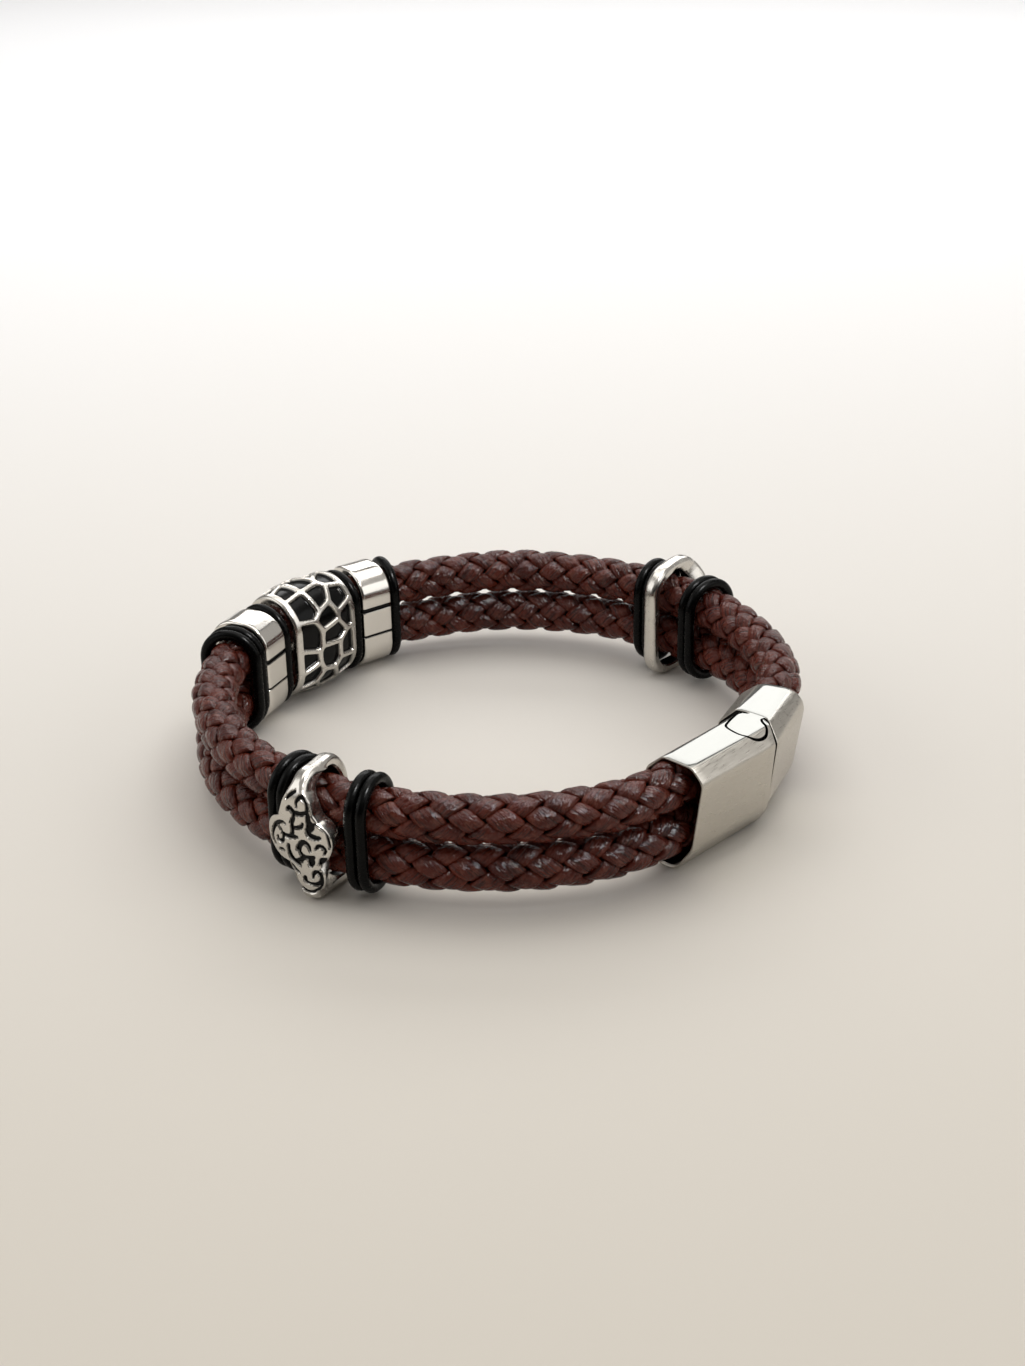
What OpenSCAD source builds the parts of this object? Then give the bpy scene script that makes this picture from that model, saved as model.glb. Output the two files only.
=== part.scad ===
// Leather bracelet: two braided cords side by side, closed by a two-part steel clasp.
// It lies on its side: +Z is up, the wrist goes in along Z, the clasp is at -Y and the barrel bead at +Y.
// Angles are in degrees round the wrist, from +X towards +Y.

/* [Band] */
// Radius of the loop, measured to the middle of the cords
loop_r = 37.5; // [36:0.1:39]
// Height of the band's middle above the surface it lies on
mid_z = 8.3; // [8.3:0.1:9]
// Distance between the centres of the two cords
cord_spacing = 6.5; // [6.4:0.05:6.6]
// Diameter of a cord over the crowns of its braid
cord_d = 6; // [5.6:0.1:6]
// Diameter of a cord at the bottom of the grooves between the crowns
groove_d = 5; // [4.6:0.1:5.2]
// Length of one repeat of the braid along the cord
braid_pitch = 4.3; // [4:0.1:5]
// Number of crowns round one cord
braid_columns = 8; // [8:2:8]

/* [Clasp] */
// Angle of the clasp's joint where the cords' line crosses it
seam_angle = -84; // [-85:0.5:-83]
// Half of the angle that the front half covers
front_half_angle = 11.5; // [11:0.5:12]
// Half of the angle that the rear half covers
rear_half_angle = 8.2; // [7:0.1:8.5]
// Distance from the loop's centre to the cords where they run straight into the clasp
clasp_d = 35.7; // [35.5:0.1:36]
// Thickness of the clasp's wall
clasp_wall = 0.45; // [0.4:0.05:0.5]
// How far the cords reach into the front half
front_depth = 8.6; // [7:0.1:8.8]
// How far the cords reach into the rear half
rear_depth = 6.4; // [5:0.1:6.6]
// Radius of the locking tongue's round head
tongue_r = 2.4; // [2.2:0.1:2.5]
// Distance of the head's centre from the joint
tongue_reach = 1.8; // [1.6:0.1:2]
// Distance of the head's centre from the cords' line, outwards
tongue_out = 2.4; // [2.2:0.1:2.5]
// Width of the tongue's neck
neck_w = 2.8; // [2.6:0.1:3]
// Clearance round the tongue and across the joint
lock_gap = 0.12; // [0.1:0.01:0.2]

/* [Bead cluster] */
// How much lower the cords run through the cluster, whose other pieces are lower than the barrel
cluster_sag = 0.55; // [0:0.05:0.55]
// Length of the barrel bead along the band
barrel_l = 12; // [11:0.1:12]
// Radius of the barrel's rounded sides at its middle
barrel_r = 5.6; // [5.4:0.05:5.7]
// Radius of the barrel's rounded sides at its ends
barrel_end_r = 4.9; // [4.7:0.05:5]
// Distance from the loop's centre to the cords where they run straight through the barrel
barrel_d = 36.3; // [36:0.1:37]
// Depth of the pockets between the barrel's ribs
pocket_depth = 0.5; // [0.3:0.05:0.6]
// Width of the ribs of the web
rib_w = 0.8; // [0.6:0.05:1]
// Length of a tube bead along the band
tube_l = 5; // [4.5:0.1:5]
// Height of a tube bead
tube_h = 15.2; // [15:0.1:15.6]
// Thickness of a tube bead
tube_t = 9.2; // [9:0.1:9.4]
// Angle from the barrel's centre to the centre of each tube bead
tube_step = 17.9; // [17.6:0.1:18.5]
// Angle from the barrel's centre to the rings beside it
near_step = 11.8; // [11.6:0.1:12]
// Angle from the barrel's centre to the rings beyond the tube beads
far_step = 24; // [23.6:0.1:24.5]

/* [Rings] */
// Thickness of a rubber ring
ring_wire = 1.4; // [1.3:0.05:1.4]
// Inner radius of a rubber ring's rounded ends
ring_inner_r = 3.08; // [3.05:0.01:3.15]

/* [Scroll beads] */
// Angle of the scroll bead
scroll_angle = -175; // [-176:0.5:-172]
// Lean of the scroll bead along the band
scroll_lean = 10; // [0:1:10]
// Angle of the second bead of this kind
loop_bead_angle = -5; // [-6:0.5:-4]
// Thickness of the bead's metal
bead_wall = 1.25; // [1.1:0.05:1.4]
// Width of the strap round the cords
strap_w = 2.2; // [2:0.1:2.6]
// Depth of the scroll bead from its back to the face of its plate
scroll_depth = 10.4; // [10.3:0.1:12]
// Depth of the second bead from its back to the face of its plate
loop_depth = 11.8; // [11.4:0.1:12]
// Height of the raised scrolls
relief = 0.4; // [0.3:0.05:0.5]
// Width of a scroll's line
scroll_w = 0.5; // [0.4:0.05:0.6]
// Radius of the plate's side lobes
lobe_r = 3; // [2.6:0.1:3.1]
// Distance of a side lobe's centre from the plate's middle line
lobe_out = 2.1; // [1.6:0.1:2.2]
// Shift of both side lobes along the band
lobe_shift = -0.4; // [-1:0.1:0]
// Height of the side lobes' centres above the band's middle
lobe_z = -0.6; // [-1:0.1:0]
// Radius of the plate's round foot
foot_r = 2.4; // [2.2:0.1:2.6]
// Distance of the foot's centre from the plate's middle line
foot_out = 0.6; // [0:0.1:1]
// Half of the plate's width where its neck starts
neck_half_w = 3.6; // [3.2:0.1:3.8]
// Radius of the hollow on each side of the neck
neck_round = 6; // [5:0.5:7]
// Height above the band's middle at which the scrolls end
field_top = 5.2; // [4:0.2:5.6]
// Radius of the plate's crown across the band
crown_r = 14; // [12:1:20]

/* [Hidden] */
$fn = 48;
PI_DEG = PI / 180;
pack_gap = 0.06;

front_angle = seam_angle - front_half_angle;
rear_angle = seam_angle + rear_half_angle;
barrel_angle = 89;
cord_half_h = cord_spacing / 2;
bore_r = cord_d / 2 + 0.12;
ring_rho = ring_inner_r + ring_wire / 2;
ring_pair = ring_wire + pack_gap;
barrel_half_angle = atan(barrel_l / 2 / barrel_d);
sag_starts = 26;
sag_ends = 60;

// Rigid pieces that hold the cords straight: middle angle, half angle, ease of the bend, distance from the centre
STRAIGHTS = [
    [front_angle, front_half_angle, 16, clasp_d],
    [rear_angle, rear_half_angle, 16, clasp_d],
    [barrel_angle, barrel_half_angle, 16, barrel_d]
];

// Rubber rings: name, angle, shift along the band. The rings of a pair are parallel and touch
RINGS = [
    ["cluster_ring_1", barrel_angle + far_step, ring_pair],
    ["cluster_ring_2", barrel_angle + far_step, 0],
    ["cluster_ring_3", barrel_angle + near_step, 0],
    ["cluster_ring_4", barrel_angle - near_step, 0],
    ["cluster_ring_5", barrel_angle - far_step, 0],
    ["scroll_ring_1", scroll_angle - 6.1, -ring_pair / 2],
    ["scroll_ring_2", scroll_angle - 6.1, ring_pair / 2],
    ["scroll_ring_3", scroll_angle + 9.6, -ring_pair / 2],
    ["scroll_ring_4", scroll_angle + 9.6, ring_pair / 2],
    ["loop_ring_1", loop_bead_angle - 9.6, -ring_pair / 2],
    ["loop_ring_2", loop_bead_angle - 9.6, ring_pair / 2],
    ["loop_ring_3", loop_bead_angle + 4.7, -ring_pair / 2],
    ["loop_ring_4", loop_bead_angle + 4.7, ring_pair / 2]
];

// Scrolls on the plate: across, up, radius, turn, mirrored
SCROLLS = [
    [1.1, 4.2, 0.9, 150, 0],
    [-1.3, 2.9, 1.0, 20, 1],
    [0.7, 2.2, 1.1, -60, 0],
    [2.9, 1.1, 1.1, 120, 1],
    [-2.2, 0.9, 1.0, -90, 1],
    [-3.4, -0.6, 1.1, 60, 0],
    [-1.6, -1.2, 1.1, 200, 0],
    [0.4, -1.5, 1.2, -30, 1],
    [2.8, -1.5, 1.1, 240, 0],
    [-1.4, -3.2, 1.0, 160, 1],
    [0.7, -3.7, 1.1, 45, 0],
    [0.9, -5.6, 1.0, 180, 1],
    [-0.5, -6.6, 1.1, 0, 0]
];

// Section of the clasp: outwards from the cords' line, up from the band's middle
CLASP = [
    [-3.8, -5.5],
    [-1.4, -8.3],
    [1.3, -8.3],
    [3.9, -4.7],
    [5.3, 5],
    [3.5, 6.8],
    [-1.3, 6.8],
    [-3.8, 4.4]
];

// The band's middle line: a circle that runs straight through each rigid piece
function wrap(a) = a - 360 * floor((a + 180) / 360);
function eased_r(off, half, ease, d) =
    off <= half ? d / cos(off)
    : off < half + ease ? loop_r - (loop_r - d / cos(half)) * pow(1 - (off - half) / ease, 2)
    : loop_r;
function path_r(a) = min([for (s = STRAIGHTS) eased_r(abs(wrap(a - s[0])), s[1], s[2], s[3])]);
function path_point(a) = path_r(a) * [cos(a), sin(a), 0];
function path_z(a) =
    let (s = max(0, min(1, (sag_ends - abs(wrap(a - barrel_angle))) / (sag_ends - sag_starts))))
    mid_z - cluster_sag * s * s * (3 - 2 * s);
function path_heading(a) =
    let (step = path_point(a + 0.25) - path_point(a - 0.25))
    atan2(-step[0], step[1]);

// Places a piece on the band: its x points out of the loop, its y along the band, its z up
module on_band(a) {
    translate(path_point(a) + [0, 0, path_z(a)])
        rotate([0, 0, path_heading(a)])
            children();
}

// Rounded oval, as wide as 2 r and 2 c + 2 r high
module oval(r, c) {
    square([2 * r, 2 * c], center = true);
    translate([0, c]) circle(r);
    translate([0, -c]) circle(r);
}

// Extrudes an outline drawn in x and z along the band
module along_band(length) {
    rotate([90, 0, 0])
        linear_extrude(length, center = true)
            children();
}

// Braided cord: a tube whose surface rises to a crown at every second point, as the strands of the braid do
cord_start = rear_angle + rear_half_angle - rear_depth / loop_r / PI_DEG;
cord_end = 360 + front_angle - front_half_angle + front_depth / loop_r / PI_DEG;
cord_steps = 2 * round((cord_end - cord_start) * PI_DEG * loop_r / braid_pitch);

function cord_point(i, k, z) =
    let (a = cord_start + (cord_end - cord_start) * i / cord_steps)
    let (h = path_heading(a), turn = 360 * k / braid_columns)
    let (r = (i + k) % 2 == 0 ? cord_d / 2 : groove_d / 2)
    path_point(a) + [r * cos(turn) * cos(h), r * cos(turn) * sin(h), path_z(a) + z + r * sin(turn)];

module braided_cord(z) {
    n = braid_columns;
    points = [for (i = [0:cord_steps], k = [0:n - 1]) cord_point(i, k, z)];
    // The shared edge of each pair of triangles lies in the groove between four crowns
    sides = [for (i = [0:cord_steps - 1], k = [0:n - 1])
        let (a = i * n + k, b = i * n + (k + 1) % n, c = b + n, d = a + n)
        each ((i + k) % 2 == 0 ? [[a, b, d], [b, c, d]] : [[a, b, c], [a, c, d]])];
    first = [for (k = [n - 1:-1:0]) k];
    last = [for (k = [0:n - 1]) cord_steps * n + k];
    polyhedron(points, concat(sides, [first, last]), convexity = 8);
}

module braided_cord_top() {
    color([0.24, 0.11, 0.09]) braided_cord(cord_half_h);
}

module braided_cord_bottom() {
    color([0.24, 0.11, 0.09]) braided_cord(-cord_half_h);
}

// Clasp: steel sleeves on the straight stretches, with a round-headed tongue between them.
// The inside is the section moved in by the wall: each corner slides along the line that halves its angle
function edge_normal(k) =
    let (e = CLASP[(k + 1) % len(CLASP)] - CLASP[k % len(CLASP)])
    [-e[1], e[0]] / norm(e);
function moved_corner(k, inset) =
    let (before = edge_normal(k + len(CLASP) - 1), after = edge_normal(k))
    CLASP[k] + inset * (before + after) / (1 + before * after);

module clasp_outline(inset) {
    polygon([for (k = [0:len(CLASP) - 1]) moved_corner(k, inset)]);
}

front_end = clasp_d * tan(front_half_angle);
rear_end = clasp_d * tan(rear_half_angle);

module in_clasp(a) {
    rotate([0, 0, a]) translate([clasp_d, 0, mid_z]) children();
}

// Keeps what lies on one side of the joint, beyond half of the clearance. The joint is square to the front half
module seam_side(side) {
    intersection() {
        children();
        in_clasp(front_angle)
            translate([0, front_end + side * (15 + lock_gap / 2), 0])
                cube([30, 30, 30], center = true);
    }
}

// The tongue's outline in plan, drawn from the joint towards the front half
module tongue_plan(grow) {
    translate([tongue_out, -tongue_reach]) circle(tongue_r + grow);
    translate([tongue_out - tongue_r - grow, -tongue_reach]) square([neck_w + 2 * grow, tongue_reach + 1]);
}

module tongue(grow) {
    in_clasp(front_angle)
        translate([0, front_end, -mid_z])
            linear_extrude(2 * mid_z)
                tongue_plan(grow);
}

module front_sleeve(inset) {
    in_clasp(front_angle)
        translate([0, 1, 0])
            along_band(2 * front_end + 2)
                clasp_outline(inset);
}

module rear_sleeve() {
    in_clasp(rear_angle)
        translate([0, -1, 0])
            along_band(2 * rear_end + 2)
                clasp_outline(0);
}

module clasp_front() {
    color([0.78, 0.76, 0.73])
        difference() {
            seam_side(-1) front_sleeve(0);
            in_clasp(front_angle)
                translate([0, -front_end + (front_depth + 0.2) / 2 - 1, 0])
                    along_band(front_depth + 2.2)
                        clasp_outline(clasp_wall);
            tongue(lock_gap);
        }
}

module clasp_rear() {
    color([0.78, 0.76, 0.73])
        difference() {
            union() {
                seam_side(1) rear_sleeve();
                // The tongue lies a hair below the faces round it
                intersection() {
                    front_sleeve(0.02);
                    tongue(0);
                }
            }
            in_clasp(rear_angle)
                translate([0, rear_end - (rear_depth + 0.2) / 2 + 1, 0])
                    along_band(rear_depth + 2.2)
                        clasp_outline(clasp_wall);
        }
}

// Tube bead: an oval sleeve with two grooves along the band on each flat face
module groove(side, z, w, depth) {
    translate([side * tube_t / 2, 0, z]) cube([2 * depth, tube_l + 1, w], center = true);
}

module tube_bead(a) {
    corner = tube_t / 2 - 0.6;
    color([0.82, 0.8, 0.76])
        on_band(a)
            difference() {
                along_band(tube_l) {
                    square([tube_t, tube_h - 2 * corner], center = true);
                    square([tube_t - 2 * corner, tube_h], center = true);
                    for (x = [-1, 1], z = [-1, 1])
                        translate([x * (tube_t / 2 - corner), z * (tube_h / 2 - corner)]) circle(corner);
                }
                along_band(tube_l + 1) oval(bore_r, cord_half_h);
                for (side = [-1, 1]) {
                    groove(side, 2.2, 0.6, 0.35);
                    groove(side, -1.9, 0.35, 0.3);
                }
            }
}

module tube_bead_left() {
    tube_bead(barrel_angle + tube_step);
}

module tube_bead_right() {
    tube_bead(barrel_angle - tube_step);
}

// Barrel bead: a bulging oval with a raised web of ribs round blackened pockets
barrel_c = mid_z - barrel_r;
barrel_core_r = barrel_r - pocket_depth;
bulge_r = (pow(barrel_l / 2, 2) + pow(barrel_r - barrel_end_r, 2)) / (2 * (barrel_r - barrel_end_r));

// Half of the barrel's side view: along the band is y, out from the middle is x
module bulge_half(drop) {
    intersection() {
        translate([barrel_r - bulge_r, 0]) circle(bulge_r - drop, $fn = 96);
        translate([0, -barrel_l / 2]) square([barrel_r + 1, barrel_l]);
    }
}

module bulged_oval(drop) {
    for (side = [0, 1]) mirror([0, 0, side])
        translate([0, 0, barrel_c])
            rotate([90, 0, 0])
                rotate_extrude(angle = 180)
                    bulge_half(drop);
    for (side = [0, 1]) mirror([side, 0, 0])
        linear_extrude(2 * barrel_c, center = true)
            bulge_half(drop);
}

// The web: points on a staggered grid, moved by a small amount, and the polygon nearest to each of them
web_columns = 3;
web_rows = 12;
web_step = (barrel_l - 1.2) / web_columns;
web_turn = 2 * PI * barrel_r + 4 * barrel_c;
web_row = web_turn / web_rows;
function shake(i, j, seed) = 0.3 * sin(137 * (i + 1) * (j + 2) + 71 * i + 53 * seed + 29 * j);
function site(i, j) =
    let (row = (j + web_rows) % web_rows)
    [(i - (web_columns - 1) / 2 + shake(i, row, 0)) * web_step,
     (j + 0.5 * (i % 2) + shake(i, row, 1)) * web_row];

// Cuts a polygon with the line through p across direction n, and keeps the side that n points away from
function cut_poly(poly, p, n) = [
    for (k = [0:len(poly) - 1])
        let (a = poly[k], b = poly[(k + 1) % len(poly)])
        let (da = (a - p) * n, db = (b - p) * n)
        each concat(da <= 0 ? [a] : [], da * db < 0 ? [a + (b - a) * da / (da - db)] : [])];

function cell(i, j) =
    let (s = site(i, j), edge = barrel_l / 2 - 1.1)
    cell_step(
        [[-edge, s[1] - 6], [edge, s[1] - 6], [edge, s[1] + 6], [-edge, s[1] + 6]],
        s,
        [for (di = [-1:1], dj = [-2:2]) if ((di != 0 || dj != 0) && i + di >= 0 && i + di < web_columns)
            site(i + di, j + dj)],
        0);

function cell_step(poly, s, others, k) =
    k >= len(others) ? poly
    : let (n = (others[k] - s) / norm(others[k] - s))
      cell_step(cut_poly(poly, (s + others[k]) / 2 - n * rib_w / 2, n), s, others, k + 1);

// Where a point along the oval's edge lies: turn about the band's direction, and place across it
quarter = PI * barrel_r / 2;
function oval_place(s) =
    let (t = s - web_turn * floor(s / web_turn))
    t < 2 * barrel_c ? [0, [barrel_r, t - barrel_c]]
    : t < 2 * barrel_c + 2 * quarter
        ? let (a = (t - 2 * barrel_c) / barrel_r / PI_DEG)
          [a, [barrel_r * cos(a), barrel_c + barrel_r * sin(a)]]
    : t < 4 * barrel_c + 2 * quarter
        ? [180, [-barrel_r, 3 * barrel_c + 2 * quarter - t]]
    : let (a = 180 + (t - 4 * barrel_c - 2 * quarter) / barrel_r / PI_DEG)
      [a, [barrel_r * cos(a), -barrel_c + barrel_r * sin(a)]];

module pocket(i, j) {
    s = site(i, j);
    at = oval_place(s[1]);
    translate([at[1][0], 0, at[1][1]])
        rotate([0, -at[0], 0])
            translate([-1.6, 0, 0])
                rotate([90, 0, 90])
                    linear_extrude(3)
                        translate([0, -s[1]])
                            polygon(cell(i, j));
}

module barrel_bead() {
    $fn = 96;
    color([0.6, 0.6, 0.58])
        on_band(barrel_angle)
            difference() {
                translate([0, 0, cluster_sag]) {
                    bulged_oval(pocket_depth);
                    difference() {
                        bulged_oval(0);
                        for (i = [0:web_columns - 1], j = [0:web_rows - 1]) pocket(i, j);
                    }
                }
                along_band(barrel_l + 1) oval(bore_r, cord_half_h);
            }
}

// Rubber ring: a round wire bent to an oval round both cords
module ring(a, shift) {
    color([0.05, 0.05, 0.05])
        on_band(a)
            translate([0, shift, 0]) {
                for (side = [0, 1]) mirror([0, 0, side])
                    translate([0, 0, cord_half_h])
                        rotate([90, 0, 0])
                            rotate_extrude(angle = 180)
                                translate([ring_rho, 0])
                                    circle(d = ring_wire);
                for (x = [-1, 1])
                    translate([x * ring_rho, 0, 0])
                        cylinder(d = ring_wire, h = 2 * cord_half_h, center = true);
            }
}

// Scroll bead: a strap round both cords that widens to a lobed plate on the outside of the band
plate_in = ring_inner_r + ring_wire + 0.12;
plate_out = plate_in + bead_wall;
outer_corner = 3.8;
bead_bore = bore_r + 0.1;
foot_low = -8;
rim_w = 0.55;
foot_neck = 1.8;

// Rounded rectangle from x0 to x1, h high on each side of the middle
module rounded(x0, x1, h, r) {
    translate([x0 + r, -h]) square([x1 - x0 - 2 * r, 2 * h]);
    translate([x0, r - h]) square([x1 - x0, 2 * (h - r)]);
    for (x = [x0 + r, x1 - r], z = [r - h, h - r]) translate([x, z]) circle(r);
}

// The plate's outline, across and up: two side lobes, a round foot and a neck that narrows into the strap
module plate_outline() {
    lobes(0);
    difference() {
        translate([-neck_half_w, lobe_z]) square([2 * neck_half_w, mid_z - lobe_z]);
        for (side = [-1, 1]) translate([side * (neck_round + strap_w / 2), mid_z]) circle(neck_round);
    }
}

module lobes(inset) {
    for (side = [-1, 1]) translate([side * lobe_out + lobe_shift, lobe_z]) circle(lobe_r - inset);
    translate([foot_out, foot_r + foot_low]) circle(foot_r - inset);
    polygon([
        [foot_out - foot_neck + inset, foot_r + foot_low],
        [foot_out + foot_neck - inset, foot_r + foot_low],
        [lobe_shift + lobe_out - inset, lobe_z],
        [lobe_shift - lobe_out + inset, lobe_z]
    ]);
}

// A scroll: an open ring with a ball at its inner end
module scroll(x, z, r, turn, flip) {
    translate([x, z]) rotate(turn) mirror([flip, 0]) {
        difference() {
            circle(r);
            circle(r - scroll_w);
            translate([0, -r - 0.1]) square([r + 0.2, r + 0.1]);
        }
        translate([r - scroll_w * 0.75, -0.05]) circle(scroll_w * 0.75);
    }
}

// The sunk field behind the scrolls: the plate's outline without its rim, with a pointed top
module scroll_field() {
    lobes(rim_w);
    half = neck_half_w * 0.8 - rim_w;
    polygon([
        [-half, lobe_z],
        [half, lobe_z],
        [half, field_top - 2],
        [0.6, field_top],
        [-0.6, field_top],
        [-half, field_top - 2]
    ]);
}

// Extrudes an outline drawn across and up, outwards from x
module outwards(x, depth) {
    translate([x, 0, 0])
        rotate([90, 0, 90])
            linear_extrude(depth)
                children();
}

// The plate is thick from left to right of its middle line, and hollow beyond
module strap_and_plate(h, depth, left, right) {
    strap_back = plate_out - depth;
    difference() {
        intersection() {
            along_band(14) rounded(strap_back, plate_out, h, outer_corner);
            translate([plate_out - crown_r, 0, 0]) cylinder(r = crown_r, h = 3 * mid_z, center = true, $fn = 96);
            union() {
                cube([4 * depth, strap_w, 3 * mid_z], center = true);
                outwards(0, 10) plate_outline();
            }
        }
        // The bore, close round the cords on the outer side
        along_band(14) rounded(strap_back + bead_wall, bead_bore, h - bead_wall, bead_bore);
        // Behind the plate's lobes, so that the rubber rings pass under them
        translate([0, -left - 4, 0]) along_band(8) oval(plate_in, cord_half_h);
        translate([0, right + 4, 0]) along_band(8) oval(plate_in, cord_half_h);
    }
}

// A leaning bead is made a little lower, so that it still just touches the surface below
module scroll_bead_at(a, lean, depth, left, right) {
    color([0.6, 0.6, 0.58])
        on_band(a)
            rotate([lean, 0, 0])
                difference() {
                    strap_and_plate((mid_z - strap_w / 2 * sin(lean)) / cos(lean), depth, left, right);
                    difference() {
                        outwards(plate_out - relief, 2) scroll_field();
                        outwards(plate_out - relief - 1, 4)
                            for (s = SCROLLS) scroll(s[0], s[1], s[2], s[3], s[4]);
                    }
                }
}

module scroll_bead() {
    scroll_bead_at(scroll_angle, scroll_lean, scroll_depth, 1.6, 5);
}

module loop_bead() {
    scroll_bead_at(loop_bead_angle, 0, loop_depth, 4.3, 1.3);
}

braided_cord_top();
braided_cord_bottom();
clasp_front();
clasp_rear();
barrel_bead();
tube_bead_left();
tube_bead_right();
scroll_bead();
loop_bead();
for (r = RINGS) ring(r[1], r[2]);
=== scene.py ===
# %% [markdown]
# # Leather bracelet: the looks
# The real bracelet has two braided leather cords that run side by side through steel beads and rubber rings, and a
# steel clasp that closes them to a loop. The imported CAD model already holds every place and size. This script weaves
# the cords, cuts the beads and the clasp finer than the CAD does, and gives each piece its material. Every length
# below is in millimetres, and is turned to metres, Blender's unit, where a mesh, a light or the camera is made.

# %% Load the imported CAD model
import functools
import math

import bmesh
import bpy
import numpy as np
from mathutils import Matrix


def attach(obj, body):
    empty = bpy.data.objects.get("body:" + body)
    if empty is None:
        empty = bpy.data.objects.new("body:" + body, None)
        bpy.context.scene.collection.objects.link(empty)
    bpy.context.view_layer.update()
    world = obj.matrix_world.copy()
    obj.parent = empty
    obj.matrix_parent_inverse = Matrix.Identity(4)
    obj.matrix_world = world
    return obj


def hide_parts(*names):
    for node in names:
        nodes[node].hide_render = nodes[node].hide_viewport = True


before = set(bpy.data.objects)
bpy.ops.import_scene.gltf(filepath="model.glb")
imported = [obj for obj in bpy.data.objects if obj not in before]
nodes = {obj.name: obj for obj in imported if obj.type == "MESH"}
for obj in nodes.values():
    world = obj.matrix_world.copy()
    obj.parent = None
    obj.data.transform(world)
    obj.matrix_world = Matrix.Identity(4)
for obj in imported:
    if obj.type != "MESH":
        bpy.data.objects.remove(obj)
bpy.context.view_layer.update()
MM = 0.001

# %% [markdown]
# ## The band's middle line
# A real cord bends in an even curve, but stays straight where it runs through a stiff piece. The line could be drawn
# by hand as a curve object. A formula was chosen instead, because the CAD model uses the same one, so the pieces
# made here fall exactly on the CAD's. Angles are in degrees, from +X towards +Y.

# %% Sizes of the band
# radius of the loop's middle line, height of the band's middle, and radius of a cord
LOOP_R = 37.5
MID_Z = 8.3
CORD_R = 3.0
# half of the distance between the two cords' middles
CORD_HALF = 3.25
# angle of the clasp's joint, half angles of its two halves, and the angles of their middles
SEAM = -84.0
FRONT_HALF = 11.5
REAR_HALF = 8.2
FRONT = SEAM - FRONT_HALF
REAR = SEAM + REAR_HALF
# distance of the clasp's straight runs from the loop's centre
CLASP_D = 35.7
# angle of the barrel bead, distance of its straight run from the loop's centre, and its length
BARREL_AT = 89.0
BARREL_D = 36.3
BARREL_L = 12.0
BARREL_HALF = math.degrees(math.atan(BARREL_L / 2 / BARREL_D))
# degrees over which the line bends from the circle into a straight run
EASE = 16
# middle angle, half angle and distance from the centre of each straight run
STRAIGHTS = [(FRONT, FRONT_HALF, CLASP_D), (REAR, REAR_HALF, CLASP_D), (BARREL_AT, BARREL_HALF, BARREL_D)]
# how much lower the cords run through the bead cluster, and the angles off it where this starts and ends
SAG = 0.55
SAG_FULL, SAG_NONE = 26, 60
print("straight runs at the angles", [round(run[0], 1) for run in STRAIGHTS])


# %% The middle line as a function of the angle
def smooth_step(t):
    """Goes from 0 to 1 with no slope at either end: 3 t squared minus 2 t cubed, with t held between 0 and 1."""
    t = np.clip(t, 0, 1)
    return t * t * (3 - 2 * t)


def path_r(a):
    """Distance of the middle line from the loop's centre at the angles a. It is the least of the circle and of each
    straight run, whose distance grows as one over the cosine of the angle off its middle. Beyond a run's ends the
    rest of the way back to the circle shrinks with the square of the angle left."""
    a = np.asarray(a, float)
    best = np.full(a.shape, LOOP_R)
    for middle, half, d in STRAIGHTS:
        off = np.abs((a - middle + 180) % 360 - 180)
        straight = d / np.cos(np.radians(np.minimum(off, half)))
        left = np.clip(1 - (off - half) / EASE, 0, 1)
        eased = LOOP_R - (LOOP_R - d / math.cos(math.radians(half))) * left ** 2
        best = np.minimum(best, np.where(off <= half, straight, eased))
    return best


def path_z(a):
    """Height of the middle line at the angles a: the middle's height, less the sag times a smooth step of the angle
    off the barrel bead."""
    off = np.abs((np.asarray(a, float) - BARREL_AT + 180) % 360 - 180)
    return MID_Z - SAG * smooth_step((SAG_NONE - off) / (SAG_NONE - SAG_FULL))


def path_frame(a):
    """Point of the middle line at the angles a, and the outward and forward directions there. Forward is the step
    between two points a quarter of a degree to both sides, and outward is forward turned by 90 degrees."""
    a = np.asarray(a, float)

    def at(b):
        return path_r(b)[..., None] * np.stack([np.cos(np.radians(b)), np.sin(np.radians(b))], -1)

    step = at(a + 0.25) - at(a - 0.25)
    along = step / np.linalg.norm(step, axis=-1, keepdims=True)
    out = np.stack([along[..., 1], -along[..., 0]], -1)
    return at(a), out, along


print("least distance of the middle line from the centre:", round(float(path_r(np.arange(0, 360)).min()), 1), "mm")


# %% Places on the band
def on_band(a, x, y, z):
    """Frame points of what lies x outwards, y along and z up from the band's middle at the angle a: the line's
    point, plus x times outwards, plus y times forwards, and z on top of the line's height."""
    p, out, along = path_frame(a)
    xy = p + np.asarray(x)[..., None] * out + np.asarray(y)[..., None] * along
    return np.concatenate([xy, (path_z(a) + np.asarray(z))[..., None] * np.ones_like(xy[..., :1])], -1)


def in_clasp(a, x, y, z):
    """The same for a straight clasp half with its middle at the angle a: the point (clasp distance + x, y) turned by
    the angle a."""
    c, s = math.cos(math.radians(a)), math.sin(math.radians(a))
    return np.stack([(CLASP_D + x) * c - y * s, (CLASP_D + x) * s + y * c, MID_Z + z], -1)


print("the barrel bead's middle lies at", on_band(np.array(BARREL_AT), 0, 0, 0).round(1), "mm")

# %% [markdown]
# ## From a grid of points to a mesh
# Beads, cords and clasp halves are all surfaces with two directions, such as round and along. They could be modelled
# from primitives with many small edits. A grid of points worked out by a formula was chosen: numpy computes all of
# it at once, every number stays editable, and the faces are the quads between neighbours in the grid.


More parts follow.
